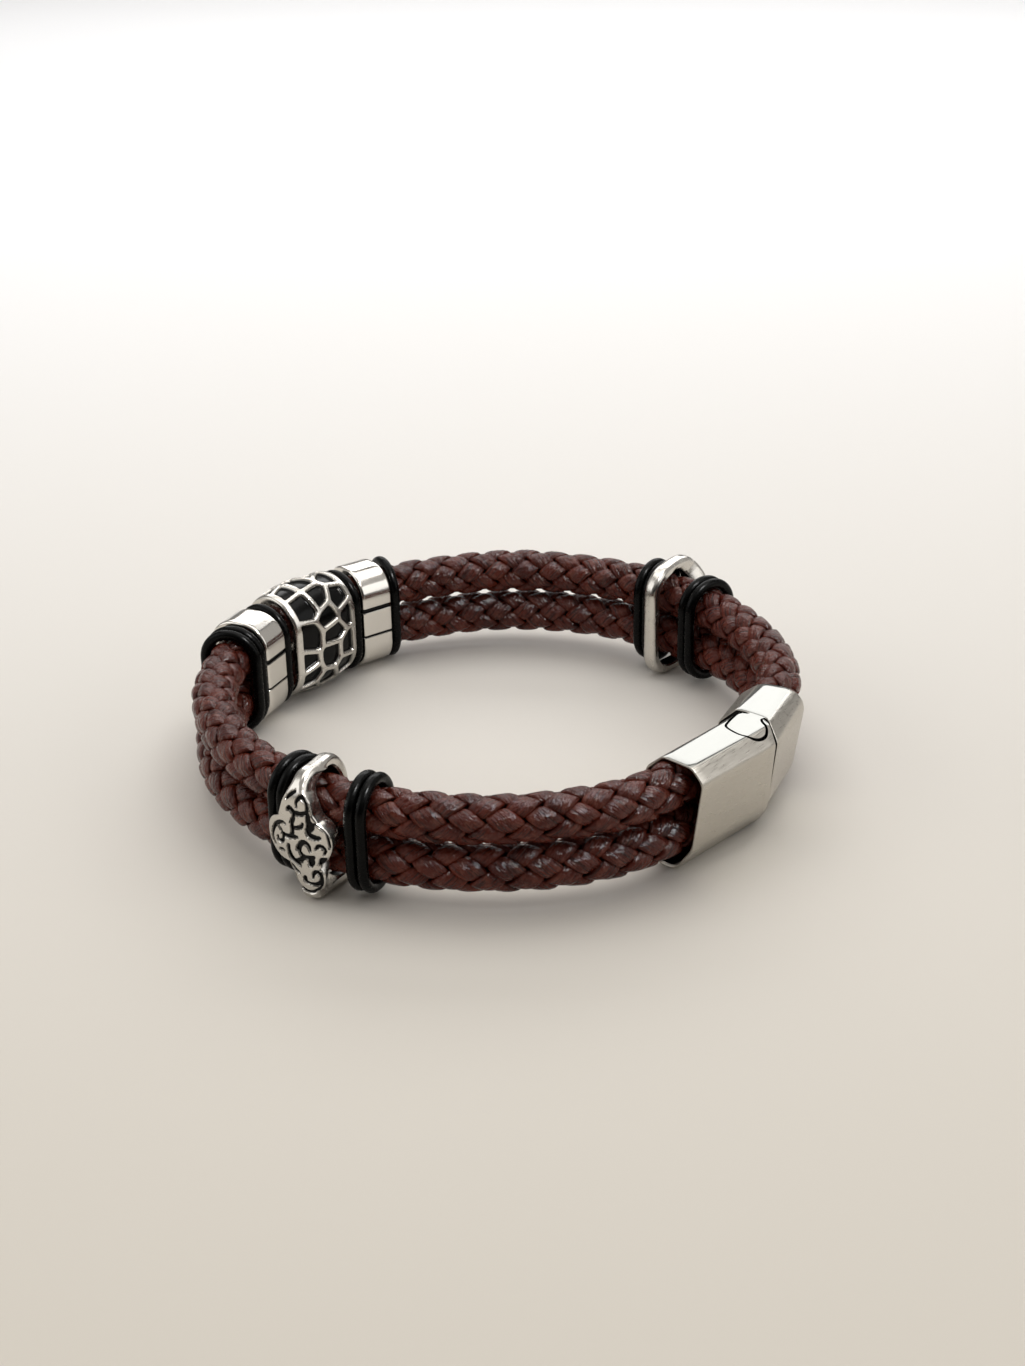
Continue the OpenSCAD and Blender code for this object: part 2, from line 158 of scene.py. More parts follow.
# %% Quads between the points of a grid
def quads(n, m, wrap_n=False, wrap_m=True, start=0):
    """Quads that join an n by m grid of points: (i, j), (i, j+1), (i+1, j+1), (i+1, j). A wrapped side joins its last
    row to its first."""
    i = np.arange(n if wrap_n else n - 1)[:, None]
    j = np.arange(m if wrap_m else m - 1)[None, :]
    a = i * m + j
    b = i * m + (j + 1) % m
    c = (i + 1) % n * m + (j + 1) % m
    d = (i + 1) % n * m + j
    return np.stack([a, b, c, d], -1).reshape(-1, 4) + start


print("a closed 4 by 3 grid has", len(quads(4, 3, wrap_n=True)), "quads")


# %% A mesh from points and faces
def shade_smooth(mesh):
    """Lets the light run smoothly over all faces."""
    mesh.polygons.foreach_set("use_smooth", np.ones(len(mesh.polygons), bool))


def mesh_piece(name, points, faces, values=None, extra=(), sharp=None):
    """Object from points in mm, quads, and named values for each point. Extra holds faces of other sizes, and sharp
    is the angle in degrees from which an edge is shown as an edge. The place is in the points: the object itself
    stays at the origin."""
    mesh = bpy.data.meshes.new(name)
    points = np.asarray(points, float).reshape(-1, 3) * MM
    faces = np.asarray(faces).reshape(-1, 4)
    mesh.vertices.add(len(points))
    mesh.vertices.foreach_set("co", points.ravel())
    sizes = [4] * len(faces) + [len(f) for f in extra]
    loops = np.concatenate([faces.ravel()] + [np.asarray(f) for f in extra]).astype(np.int32)
    mesh.loops.add(len(loops))
    mesh.loops.foreach_set("vertex_index", loops)
    mesh.polygons.add(len(sizes))
    mesh.polygons.foreach_set("loop_start", np.concatenate([[0], np.cumsum(sizes)[:-1]]).astype(np.int32))
    mesh.polygons.foreach_set("loop_total", np.array(sizes, np.int32))
    mesh.update(calc_edges=True)
    mesh.validate()
    for key, value in (values or {}).items():
        layer = mesh.attributes.new(key, "FLOAT", "POINT")
        layer.data.foreach_set("value", np.asarray(value, np.float32).ravel())
    outwards = bmesh.new()
    outwards.from_mesh(mesh)
    bmesh.ops.recalc_face_normals(outwards, faces=outwards.faces)
    outwards.to_mesh(mesh)
    outwards.free()
    shade_smooth(mesh)
    if sharp is not None:
        mesh.set_sharp_from_angle(angle=math.radians(sharp))
    piece = bpy.data.objects.new(name, mesh)
    bpy.context.scene.collection.objects.link(piece)
    return piece


def finish_piece(piece, material, slot, *replaced):
    """Gives a piece its material and its body, and hides the CAD nodes it stands for. The slot is not used."""
    piece.data.materials.clear()
    piece.data.materials.append(material)
    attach(piece, "root")
    if replaced:
        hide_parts(*replaced)
    print(piece.name, len(piece.data.vertices), "points")


# %% [markdown]
# ## Rounded sections and sleeves
# The beads and the clasp are metal sleeves: one closed section outside, another inside, and soft edges where a real
# piece was tumbled or polished. A Bevel modifier could round plain blocks, but it has no control over where the
# points fall. Here a section comes from a short table of corners with their radii. Sections drawn with the same
# number of steps match point by point, so that an outside and a bore can be joined by quads.


# %% Outline with rounded corners
def corner_frame(rows, k):
    """Unit directions from corner k to the corners before and after it, and half of the angle between them."""
    u = rows[k - 1, :2] - rows[k, :2]
    v = rows[(k + 1) % len(rows), :2] - rows[k, :2]
    u, v = u / np.linalg.norm(u), v / np.linalg.norm(v)
    return u, v, math.acos(np.clip(u @ v, -1, 1)) / 2


def moved_in(corners, inset):
    """Corners of an outline moved in: each goes along the middle of its angle by the inset over the sine of half of
    the angle, and its radius shrinks by the inset."""
    rows = np.array(corners, float)
    moved = rows.copy()
    for k in range(len(rows)):
        u, v, half = corner_frame(rows, k)
        moved[k, :2] += (u + v) / np.linalg.norm(u + v) * inset / math.sin(half)
        moved[k, 2] = max(rows[k, 2] - inset, 0.05)
    return moved


def rounded_ring(corners, arcs, sides):
    """Points round a convex outline. A corner row holds across, up and radius; corner k is an arc in arcs[k] steps,
    round a centre that lies radius over sine of half of the angle from the corner, and the straight side after it
    has sides[k] steps."""
    rows = np.array(corners, float)
    bends, ring = [], []
    for k in range(len(rows)):
        u, v, half = corner_frame(rows, k)
        radius = rows[k, 2]
        centre = rows[k, :2] + (u + v) / np.linalg.norm(u + v) * radius / math.sin(half)
        first = rows[k, :2] + u * radius / math.tan(half) - centre
        last = rows[k, :2] + v * radius / math.tan(half) - centre
        start = math.atan2(first[1], first[0])
        sweep = (math.atan2(last[1], last[0]) - start + math.pi) % (2 * math.pi) - math.pi
        turn = start + sweep * np.linspace(0, 1, arcs[k] + 1)
        bends.append(centre + radius * np.stack([np.cos(turn), np.sin(turn)], -1))
    for k in range(len(rows)):
        t = np.linspace(0, 1, sides[k] + 1)[1:-1, None]
        ring += [bends[k], bends[k][-1] * (1 - t) + bends[(k + 1) % len(rows)][0] * t]
    return np.concatenate(ring)


SQUARE = [(1, -1, 0.5), (1, 1, 0.5), (-1, 1, 0.5), (-1, -1, 0.5)]
print("a rounded square with 4 steps a corner has", len(rounded_ring(SQUARE, [4] * 4, [2] * 4)), "points")

# %% Closed sleeve from an outer and an inner section
# chamfer at the two ends of a bore
BORE_EDGE = 0.15


def sleeve(outer, bore, length, fillet, steps):
    """Closed tube along the band as a grid of across, along and up. Outer and bore give a ring for an inset and a
    place along. An outer edge is a quarter circle of the fillet: along by its sine, in by one minus its cosine."""
    half = length / 2
    bends = np.radians([0, 18, 36, 54, 72, 90])
    right = [(half - fillet + fillet * math.sin(b), fillet * (1 - math.cos(b))) for b in bends]
    body = [(y, 0.0) for y in np.linspace(fillet - half, half - fillet, steps)[1:-1]]
    left = [(-y, inset) for y, inset in reversed(right)]
    rows = [(outer(inset, y), y) for y, inset in left + body + right]
    rows += [(bore(-BORE_EDGE, half), half), (bore(0.0, half), half - BORE_EDGE)]
    rows += [(bore(0.0, half), BORE_EDGE - half), (bore(-BORE_EDGE, half), -half)]
    return np.array([np.column_stack([ring[:, 0], np.full(len(ring), y), ring[:, 1]]) for ring, y in rows])


# rows at the end of a sleeve's grid that belong to its bore
BORE_ROWS = 4
print("a sleeve ends with", BORE_ROWS, "rows for its bore")

# %% [markdown]
# ## How the materials are built
# A material could be painted as an image, but then it would have one fixed sharpness. Here each is made of nodes:
# procedural noise, whose scale comes from a real size in millimetres, is mapped to colour, roughness and bump. One
# small function adds a node with its settings and links, and gives back an output for the next node to use.


# %% Colours and nodes
def srgb(code):
    """Linear colour from a six digit sRGB code: below 0.04045 it is the value over 12.92, above it the value plus
    0.055, over 1.055, to the power 2.4."""
    part = [int(code[i:i + 2], 16) / 255 for i in (0, 2, 4)]
    return tuple(c / 12.92 if c <= 0.04045 else ((c + 0.055) / 1.055) ** 2.4 for c in part) + (1.0,)


def wire(tree, node, inputs):
    """Links each named input of a node to another node's output, or sets it to a number or colour."""
    for key, value in inputs.items():
        if isinstance(value, bpy.types.NodeSocket):
            tree.links.new(value, node.inputs[key])
        else:
            node.inputs[key].default_value = value
    return node


def add_node(tree, kind, inputs, out=0, **settings):
    """Adds one node with its settings and links, and returns one of its outputs."""
    node = tree.nodes.new(kind)
    for key, value in settings.items():
        setattr(node, key, value)
    return wire(tree, node, inputs).outputs[out]


def start_material(name):
    """New material, the function that adds nodes to it, and the place on the object in metres."""
    material = bpy.data.materials.new(name)
    material.use_nodes = True
    node = functools.partial(add_node, material.node_tree)
    return material, node, node("ShaderNodeTexCoord", {}, "Object")


def finish_material(material, inputs):
    """Feeds the Principled shader and prints the material's name."""
    wire(material.node_tree, material.node_tree.nodes["Principled BSDF"], inputs)
    print("material:", material.name)
    return material


# %% [markdown]
# ## Leather
# The strips are cut from red-brown dyed cowhide with a waxed, glossy face. Dye sinks unevenly into hide and wears
# paler in patches, and a cut edge is almost black. Where a strip dips under another, at its edges and on its
# underside, the colour is painted near black as shade. The hide was pulled tight while it was woven, which leaves fine
# lines along each strip and short creases between them. Plain brown with random noise would hide how each strip runs,
# so the mesh carries values along and across each strip in millimetres, and the noise is stretched along them.

# %% Leather material
# values on the mesh: how far up its crown, place along and across the strip in mm, and a number for each strip
STRIP_VALUES = ("crown", "along", "across", "strip")


def leather():
    """Waxed cowhide: a dark warm brown with small sharp glints on the crowns, painted near black as shade at the
    strips' edges and in the gaps.
    """
    material, node, place = start_material("red_brown_leather_strips")
    crown, along, across, own = [node("ShaderNodeAttribute", {}, "Fac", attribute_name=v) for v in STRIP_VALUES]

    # fibre lines about 0.3 mm apart, drawn out to more than ten times their width along the strip
    run = node("ShaderNodeMath", {0: along, 1: 0.08}, operation="MULTIPLY")
    spot = node("ShaderNodeCombineXYZ", {0: run, 1: across, 2: own})
    fibres = node("ShaderNodeTexNoise", {"Vector": spot, "Scale": 3.4, "Detail": 2})
    # creases about 0.5 mm apart, only a little longer than wide
    run = node("ShaderNodeMath", {0: along, 1: 0.6}, operation="MULTIPLY")
    spot = node("ShaderNodeCombineXYZ", {0: run, 1: across, 2: own})
    creases = node("ShaderNodeTexNoise", {"Vector": spot, "Scale": 2.1, "Detail": 4})

    # dye in patches of 4 mm, wear of 1.1 mm, wax of 0.6 mm, and pores of 0.3 mm, coarser than real so that they show
    dye = node("ShaderNodeTexNoise", {"Vector": place, "Scale": 1 / (4 * MM), "Detail": 3})
    dye = node("ShaderNodeMapRange", {"Value": dye, "From Min": 0.35, "From Max": 0.65})
    tone = node("ShaderNodeMix", {"Factor": dye, 6: srgb("46150C"), 7: srgb("602416")}, 2, data_type="RGBA")
    wear = node("ShaderNodeTexNoise", {"Vector": place, "Scale": 1 / (1.1 * MM), "Detail": 3})
    wear = node("ShaderNodeMapRange", {"Value": wear, "From Min": 0.5, "From Max": 0.8})
    worn = node("ShaderNodeMix", {"Factor": wear, 6: tone, 7: srgb("713F32")}, 2, data_type="RGBA")
    deep = node("ShaderNodeMix", {"Factor": 0.6, 6: worn, 7: srgb("160705")}, 2, data_type="RGBA")
    top = node("ShaderNodeMapRange", {"Value": fibres, "From Min": 0.36, "From Max": 0.48})
    lined = node("ShaderNodeMix", {"Factor": top, 6: deep, 7: worn}, 2, data_type="RGBA")
    # painted shade: the colour goes to near black where a strip dips under another, at its edges and on its underside
    out_of_painted_shade = node("ShaderNodeMapRange", {"Value": crown, "From Min": 0.14, "From Max": 0.42})
    colour = node("ShaderNodeMix", {"Factor": out_of_painted_shade, 6: srgb("050202"), 7: lined}, 2, data_type="RGBA")

    # the wax is left on the crowns and not in the gaps
    gloss = {"Value": crown, "From Min": 0.3, "From Max": 0.7, "To Min": 0.04, "To Max": 0.31}
    gloss = node("ShaderNodeMapRange", gloss)
    wax = node("ShaderNodeTexNoise", {"Vector": place, "Scale": 1 / (0.6 * MM), "Detail": 5, "Roughness": 0.7})
    wax = {"Value": wax, "From Min": 0.35, "From Max": 0.65, "To Min": 0.1, "To Max": 0.26}
    wax = node("ShaderNodeMapRange", wax)
    pores = node("ShaderNodeTexNoise", {"Vector": place, "Scale": 1 / (0.3 * MM), "Detail": 3})
    relief = node("ShaderNodeBump", {"Height": fibres, "Distance": 0.14 * MM, "Strength": 0.8})
    relief = {"Height": creases, "Distance": 0.45 * MM, "Strength": 0.8, "Normal": relief}
    relief = node("ShaderNodeBump", relief)
    relief = {"Height": pores, "Distance": 0.03 * MM, "Strength": 0.4, "Normal": relief}
    relief = node("ShaderNodeBump", relief)
    shader = {"Base Color": colour, "Specular IOR Level": gloss, "Roughness": wax, "Normal": relief}
    return finish_material(material, shader)


LEATHER = leather()

# %% [markdown]
# ## Rubber
# The rings are moulded black rubber. Real rubber isn't fully black, but it reflects so little that it looks so. It
# could be a plain black, but then the rings would run into one dark mass. Instead a low specular keeps the deep
# black, a fairly low roughness gives one narrow highlight along each ring, and patches of dust make it uneven.


# %% Rubber material
def rubber():
    """Moulded rubber: nearly black, with a narrow soft highlight."""
    material, node, place = start_material("black_moulded_rubber")
    # dust in patches of 1.2 mm, skin of 0.4 mm, and a moulded grain of 0.25 mm, coarser than real so that it shows
    dust = node("ShaderNodeTexNoise", {"Vector": place, "Scale": 1 / (1.2 * MM), "Detail": 4})
    dust = node("ShaderNodeMapRange", {"Value": dust, "From Min": 0.45, "From Max": 0.75})
    colour = node("ShaderNodeMix", {"Factor": dust, 6: srgb("020202"), 7: srgb("080807")}, 2, data_type="RGBA")
    skin = node("ShaderNodeTexNoise", {"Vector": place, "Scale": 1 / (0.4 * MM), "Detail": 3})
    skin = {"Value": skin, "From Min": 0.3, "From Max": 0.7, "To Min": 0.2, "To Max": 0.34}
    skin = node("ShaderNodeMapRange", skin)
    grain = node("ShaderNodeTexNoise", {"Vector": place, "Scale": 1 / (0.25 * MM), "Detail": 4})
    relief = node("ShaderNodeBump", {"Height": grain, "Distance": 0.015 * MM, "Strength": 0.3})
    shader = {"Base Color": colour, "Specular IOR Level": 0.1, "Roughness": skin, "Normal": relief}
    return finish_material(material, shader)


RUBBER = rubber()

# %% [markdown]
# ## Polished and cast steel
# The tube beads are cut from stainless steel tube and polished bright. The barrel and the scroll beads are cast, so
# their polish is less even, and their hollows were blackened with oxide before the raised parts were buffed clean.
# Both finishes could be two materials on one piece. One material was chosen, with a value on the mesh that says how
# black each point is, so that the border between steel and black can be soft.


# %% Polished steel material
def polished(name, tone, rough, pitted):
    """Stainless steel with a bright polish: mirror reflections, broken by faint hairlines and by how uneven the cast
    surface is. Where the value dark is 1 it is black, which is no metal and shines little: a black oxide in the
    hollows and grooves, and painted shade on the inside of the scroll beads."""
    material, node, place = start_material(name)
    dark = node("ShaderNodeAttribute", {}, "Fac", attribute_name="dark")
    dark = node("ShaderNodeMapRange", {"Value": dark, "From Min": 0.25, "From Max": 0.75})
    colour = node("ShaderNodeMix", {"Factor": dark, 6: tone, 7: srgb("040404")}, 2, data_type="RGBA")
    metal = node("ShaderNodeMapRange", {"Value": dark, "To Min": 1.0, "To Max": 0.0})
    gloss = node("ShaderNodeMapRange", {"Value": dark, "To Min": 0.5, "To Max": 0.13})
    # the polish changes in patches of 1.5 mm
    patch = node("ShaderNodeTexNoise", {"Vector": place, "Scale": 1 / (1.5 * MM), "Detail": 4})
    patch = {"Value": patch, "From Min": 0.3, "From Max": 0.7, "To Min": rough * 0.7, "To Max": rough * 1.5}
    patch = node("ShaderNodeMapRange", patch)
    satin = node("ShaderNodeMix", {"Factor": dark, 6: patch, 7: (0.2, 0.2, 0.2, 1)}, 2, data_type="RGBA")
    # casting waves of 1.1 mm, and hairlines of 0.35 mm, which are coarser than real ones so that they show
    waves = node("ShaderNodeTexNoise", {"Vector": place, "Scale": 1 / (1.1 * MM), "Detail": 3})
    relief = node("ShaderNodeBump", {"Height": waves, "Distance": 0.12 * MM, "Strength": pitted})
    hairs = {"Vector": place, "Scale": 1 / (0.35 * MM), "Detail": 4, "Roughness": 0.6}
    hairs = node("ShaderNodeTexNoise", hairs)
    relief = {"Height": hairs, "Distance": 0.012 * MM, "Strength": 0.3, "Normal": relief}
    relief = node("ShaderNodeBump", relief)
    shader = {"Base Color": colour, "Metallic": metal, "Specular IOR Level": gloss, "Roughness": satin}
    return finish_material(material, {**shader, "Normal": relief})


STEEL = polished("polished_stainless_steel", srgb("DAD6CF"), 0.13, 0.05)
CAST = polished("cast_steel_with_blackened_hollows", srgb("CDC9C2"), 0.21, 0.22)

# %% [markdown]
# ## Brushed steel
# The clasp's broad sides were drawn over an abrasive belt, which leaves lines along the band and a soft satin sheen.
# Its top facet was polished after that. The lines could be modelled, but they are a few hundredths of a millimetre
# deep, so they are noise stretched fifty times along X, which at the clasp is nearly the band's own direction. How
# far a face looks up decides between the two finishes.


# %% Brushed steel material
def brushed():
    """Stainless steel with belt lines on the sides, 0.16 mm apart, coarser than real so that they show, and a polish
    with faint hairs on the top. Where the value dark is 1 it is black, painted as shade inside the joint's gap and the
    pocket."""
    material, node, place = start_material("brushed_stainless_steel")
    dark = node("ShaderNodeAttribute", {}, "Fac", attribute_name="dark")
    facing = node("ShaderNodeNewGeometry", {}, "True Normal")
    facing = node("ShaderNodeSeparateXYZ", {0: facing}, "Z")
    top = node("ShaderNodeMapRange", {"Value": facing, "From Min": 0.88, "From Max": 0.97})

    drawn = node("ShaderNodeMapping", {"Vector": place, "Scale": (0.02, 1, 1)})
    lines = {"Vector": drawn, "Scale": 1 / (0.16 * MM), "Detail": 3, "Roughness": 0.6}
    lines = node("ShaderNodeTexNoise", lines)
    wiped = node("ShaderNodeMapping", {"Vector": place, "Scale": (0.15, 1, 1)})
    hairs = {"Vector": wiped, "Scale": 1 / (0.5 * MM), "Detail": 4, "Roughness": 0.7}
    hairs = node("ShaderNodeTexNoise", hairs)

    tone = node("ShaderNodeMix", {"Factor": top, 6: srgb("BDB8AF"), 7: srgb("8B8B87")}, 2, data_type="RGBA")
    colour = node("ShaderNodeMix", {"Factor": dark, 6: tone, 7: srgb("030303")}, 2, data_type="RGBA")
    metal = node("ShaderNodeMapRange", {"Value": dark, "To Min": 1.0, "To Max": 0.0})
    gloss = node("ShaderNodeMapRange", {"Value": dark, "To Min": 0.5, "To Max": 0.1})
    side_rough = {"Value": lines, "From Min": 0.3, "From Max": 0.7, "To Min": 0.24, "To Max": 0.42}
    side_rough = node("ShaderNodeMapRange", side_rough)
    top_rough = {"Value": hairs, "From Min": 0.3, "From Max": 0.7, "To Min": 0.07, "To Max": 0.16}
    top_rough = node("ShaderNodeMapRange", top_rough)
    satin = node("ShaderNodeMix", {"Factor": top, 6: side_rough, 7: top_rough}, 2, data_type="RGBA")
    strength = node("ShaderNodeMapRange", {"Value": top, "To Min": 0.55, "To Max": 0.08})
    relief = node("ShaderNodeBump", {"Height": lines, "Distance": 0.012 * MM, "Strength": strength})
    shader = {"Base Color": colour, "Metallic": metal, "Specular IOR Level": gloss, "Roughness": satin}
    return finish_material(material, {**shader, "Normal": relief})


CLASP_STEEL = brushed()

# %% [markdown]
# ## Braided cords
# Each cord is a round braid of eight flat leather strips, four wound each way. At each crossing one strip lies over
# the other, and along a strip over and under take turns, so the crowns make rows of rounded diamonds. Bump alone
# could fake them, but it gives no outline and no shadow. Eight real strips were chosen: each is a helix whose radius
# rises where it crosses over and falls where it crosses under, with a rounded section carried along it.

# %% Sizes of the braid
# how far the cords reach into the clasp's two halves, and the angles where they start and end
REAR_DEPTH = 6.4
FRONT_DEPTH = 8.6
CORD_START = REAR + REAR_HALF - math.degrees(REAR_DEPTH / LOOP_R)
CORD_END = 360 + FRONT - FRONT_HALF + math.degrees(FRONT_DEPTH / LOOP_R)
CORD_L = math.radians(CORD_END - CORD_START) * LOOP_R
# a strip goes over and under once in each pitch, so a half pitch is the step from crossing to crossing
PITCH = 4.3
HALVES = 2 * round(CORD_L / PITCH)
HALF_STEP = CORD_L / HALVES
COLUMN = CORD_R * math.pi / 4
# length of a strip from crossing to crossing
RUN = math.hypot(HALF_STEP, COLUMN)
STEPS_PER_CROSSING = 7
# half of a strip's width, and its thickness
STRIP_HALF_W = 1.56
STRIP_T = 0.85
# middle radius of a strip, how far it rises and falls, how much lower its edges lie, and how far it swells
STRIP_R, STRIP_WAVE, STRIP_DROP, STRIP_SWELL = 2.6, 0.43, 0.34, 0.1
# radius of the core, and the height over it from which a strip counts as fully up its crown
CORE_R, CROWN_UP = 2.1, 0.85
# the strip's section: places across it, from -1 to 1, and how far under its top face, from 0 to 1
ACROSS = np.array([-1, -0.93, -0.72, -0.42, 0, 0.42, 0.72, 0.93, 1, 0.6, 0, -0.6])[None, :]
UNDER = np.array([0.5, 0.12, 0, 0, 0, 0, 0, 0.12, 0.5, 1, 1, 1])[None, :]
print("crossings along a strip:", HALVES, "with", round(RUN, 2), "mm of strip between them")


# %% One strip of the braid
def cord_points(i, k, r, z):
    """Points of a cord: i half pitches from its start, k eighths of a turn round it, at the radius r. Across and up
    are the radius times the cosine and sine of the turn."""
    a = CORD_START + (CORD_END - CORD_START) * i / HALVES
    turn = np.radians(45 * k + 22.5)
    return on_band(a, r * np.cos(turn), np.zeros_like(a), z + r * np.sin(turn))


def strip(hand, index, z, seed):
    """One strip. At t crossings along it, it is t columns round the cord, one way or the other by its hand. Its radius
    is the middle radius, plus the wave, a flattened cosine of t, minus the drop times the fourth power of the place
    across, minus the thickness on its underside. It tilts by 0.1 mm between crossings. As in hand work, slow sines
    change its width by 6 % and its height by 0.04 and 0.03 mm, from other starts for each seed. It swells with the
    squared sine of the turn towards the other cord, where both are pressed together."""
    t = np.linspace(0, HALVES, HALVES * STEPS_PER_CROSSING + 1)[:, None]
    width = STRIP_HALF_W * (1 + 0.06 * np.sin(1.3 * t + seed))
    q = ACROSS * width
    i = t + hand * q * COLUMN / RUN / HALF_STEP
    k0 = 2 * index - t if hand > 0 else t - 2 * index
    k = k0 + q * HALF_STEP / RUN / COLUMN
    over = np.cos(math.pi * t) * hand
    wave = np.sign(over) * np.abs(over) ** 0.7
    tilt = 0.10 * ACROSS * np.sin(math.pi * t)
    rough = 0.04 * np.sin(2.3 * t + 1.7 * seed) + 0.03 * np.sin(5.1 * t + 2.9 * ACROSS + seed)
    r = STRIP_R + STRIP_WAVE * wave - STRIP_DROP * np.abs(ACROSS) ** 4 - STRIP_T * UNDER + tilt + rough
    crown = np.clip((r - CORE_R) / CROWN_UP, 0, 1) * (1 - UNDER) * (1 - 0.5 * np.abs(ACROSS) ** 8)
    towards_other = np.clip(-np.sign(z) * np.sin(np.radians(45 * k + 22.5)), 0, 1)
    points = cord_points(i, np.broadcast_to(k, i.shape), r + STRIP_SWELL * towards_other ** 2, z)
    values = {"crown": crown, "along": t * RUN + 0 * q, "across": q + 0 * t, "strip": 7.3 * seed + 0 * q * t}
    return points, values


print("a strip has", strip(1, 0, CORD_HALF, 0.0)[0].shape[0], "sections of", ACROSS.size, "points")


# %% A whole cord
def core(z):
    """The dark core that fills the cord between the strips: a plain tube, ten points round."""
    t = np.linspace(0, HALVES, HALVES + 1)[:, None]
    k = np.arange(10)[None, :] * 0.8
    points = cord_points(t + 0 * k, k + 0 * t, CORE_R + 0 * t * k, z)
    return points, {key: np.zeros(points.shape[:2]) for key in STRIP_VALUES}


def braided_cord(name, z, seed):
    """Joins the core and eight strips, four of each hand, in one mesh, and closes both ends of each with a cap."""
    points, faces, caps, start = [], [], [], 0
    parts = [core(z)]
    for hand in (1, -1):
        for index in range(4):
            parts.append(strip(hand, index, z, seed + 1.7 * index + 3.1 * hand))
    for p, _ in parts:
        n, m = p.shape[:2]
        points.append(p.reshape(-1, 3))
        faces.append(quads(n, m, start=start))
        caps.append(np.arange(m)[::-1] + start)
        caps.append(np.arange(m) + start + (n - 1) * m)
        start += n * m
    values = {key: np.concatenate([v[key].ravel() for _, v in parts]) for key in STRIP_VALUES}
    return mesh_piece(name, np.concatenate(points), np.concatenate(faces), values, caps)


# the last number is a seed: it only makes the two cords uneven in different ways
finish_piece(braided_cord("leather_braid_top", CORD_HALF, 0.0), LEATHER, "brown_leather", "braided_cord_top")
finish_piece(braided_cord("leather_braid_bottom", -CORD_HALF, 4.4), LEATHER, "brown_leather", "braided_cord_bottom")

# %% [markdown]
# ## Barrel bead
# A cast sleeve that bulges over both cords, with a raised web like a giraffe's coat and black pockets. The web could
# be cut with boolean blocks, one for each pocket. A distance formula is shorter and gives soft walls: points on a
# staggered grid are moved a little, each place belongs to its nearest point, and the land near the border between
# two points is a rib. Everything else sinks.

# %% Sizes of the barrel bead
BORE_R = 3.12
BARREL_R = 5.6
# half of the straight part of the oval's sides
BARREL_C = MID_Z - BARREL_R
BARREL_TURN = 2 * math.pi * BARREL_R + 4 * BARREL_C
# radius of the bulge along the band
BULGE_R = 26.06
WEB_COLUMNS = 3
WEB_ROWS = 12
# steps of the web's grid along the band, where 0.6 mm is left free at either end, and round it
WEB_STEP = (BARREL_L - 1.2) / WEB_COLUMNS
WEB_ROW = BARREL_TURN / WEB_ROWS
# half of a rib's width, and width of the plain rim
RIB_HALF = 0.25
WEB_RIM = 0.92
# depth of a pocket, width of its wall, how far out the wall starts, and sharpness of the corners
POCKET = 0.55
POCKET_WALL = 0.3
POCKET_LEAD = 0.02
POCKET_CORNER = 8
# rounding of the outer ends, and points round and along
BARREL_FILLET = 0.35
BARREL_COLUMNS, BARREL_STEPS = 420, 116
print("the barrel is", round(BARREL_TURN, 1), "mm round, with", WEB_COLUMNS * WEB_ROWS, "pockets")


# %% The web of the barrel bead
def shake(i, j, seed):
    """Shift of a grid point, in steps: 0.3 times the sine of a large angle made from its column and row, which looks
    random and is the same each time."""
    return 0.3 * np.sin(np.radians(137 * (i + 1) * (j + 2) + 71 * i + 53 * seed + 29 * j))


def pocket_depth(y, s):
    """How deep the web sinks, from 0 to 1, at the place y along the band and s round the oval. The distance to the
    border with another point is the difference of the squared distances over twice the distance between the points.
    The least of these and of the distance to the rim, taken with a soft minimum, goes through a smooth step."""
    i, j = [v.ravel() for v in np.meshgrid(np.arange(WEB_COLUMNS), np.arange(WEB_ROWS), indexing="ij")]
    at = np.stack([(i - 1 + shake(i, j, 0)) * WEB_STEP, (j + 0.5 * (i % 2) + shake(i, j, 1)) * WEB_ROW], -1)

    def away(a, b):
        d = a - b
        d[..., 1] = (d[..., 1] + BARREL_TURN / 2) % BARREL_TURN - BARREL_TURN / 2
        return np.linalg.norm(d, axis=-1)

    place = np.stack([y.ravel(), s.ravel()], -1)
    far = away(place[:, None, :], at[None, :, :])
    between = away(at[far.argmin(1)][:, None, :], at[None, :, :])
    own = far.min(1)[:, None]
    border = np.where(between > 1e-6, (far ** 2 - own ** 2) / (2 * np.maximum(between, 1e-6)), 9.0)
    rim = (BARREL_L / 2 - WEB_RIM - np.abs(place[:, 0]))[:, None]
    reach = np.concatenate([border - RIB_HALF, rim], 1)
    edge = -np.log(np.exp(-POCKET_CORNER * reach).sum(1)) / POCKET_CORNER
    return smooth_step((edge + POCKET_LEAD) / POCKET_WALL).reshape(y.shape)


spot = np.linspace(0, BARREL_TURN, 200)
print("share of the barrel's middle that is sunk:", round(float(pocket_depth(0 * spot, spot).mean()), 2))


# %% The barrel bead
def oval_at(s, r, c):
    """Points at the places s round the barrel's oval, on an oval of the radius r with straight sides of 2 c: across
    is r times the cosine of the turn, up is r times its sine plus the place on the straight side."""
    quarter = math.pi * BARREL_R / 2
    knots = np.cumsum([0, 2 * BARREL_C, 2 * quarter, 2 * BARREL_C, 2 * quarter])
    side = np.interp(s, knots, [-1, 1, 1, -1, -1])
    top = np.clip((s - knots[1]) / (2 * quarter), 0, 1)
    low = np.clip((s - knots[3]) / (2 * quarter), 0, 1)
    turn = math.pi * (top + low)
    middle = np.where((s > knots[1]) & (s < knots[2]), 1.0, np.where(s > knots[3], -1.0, side))
    return np.stack([r * np.cos(turn), c * middle + r * np.sin(turn)], -1)


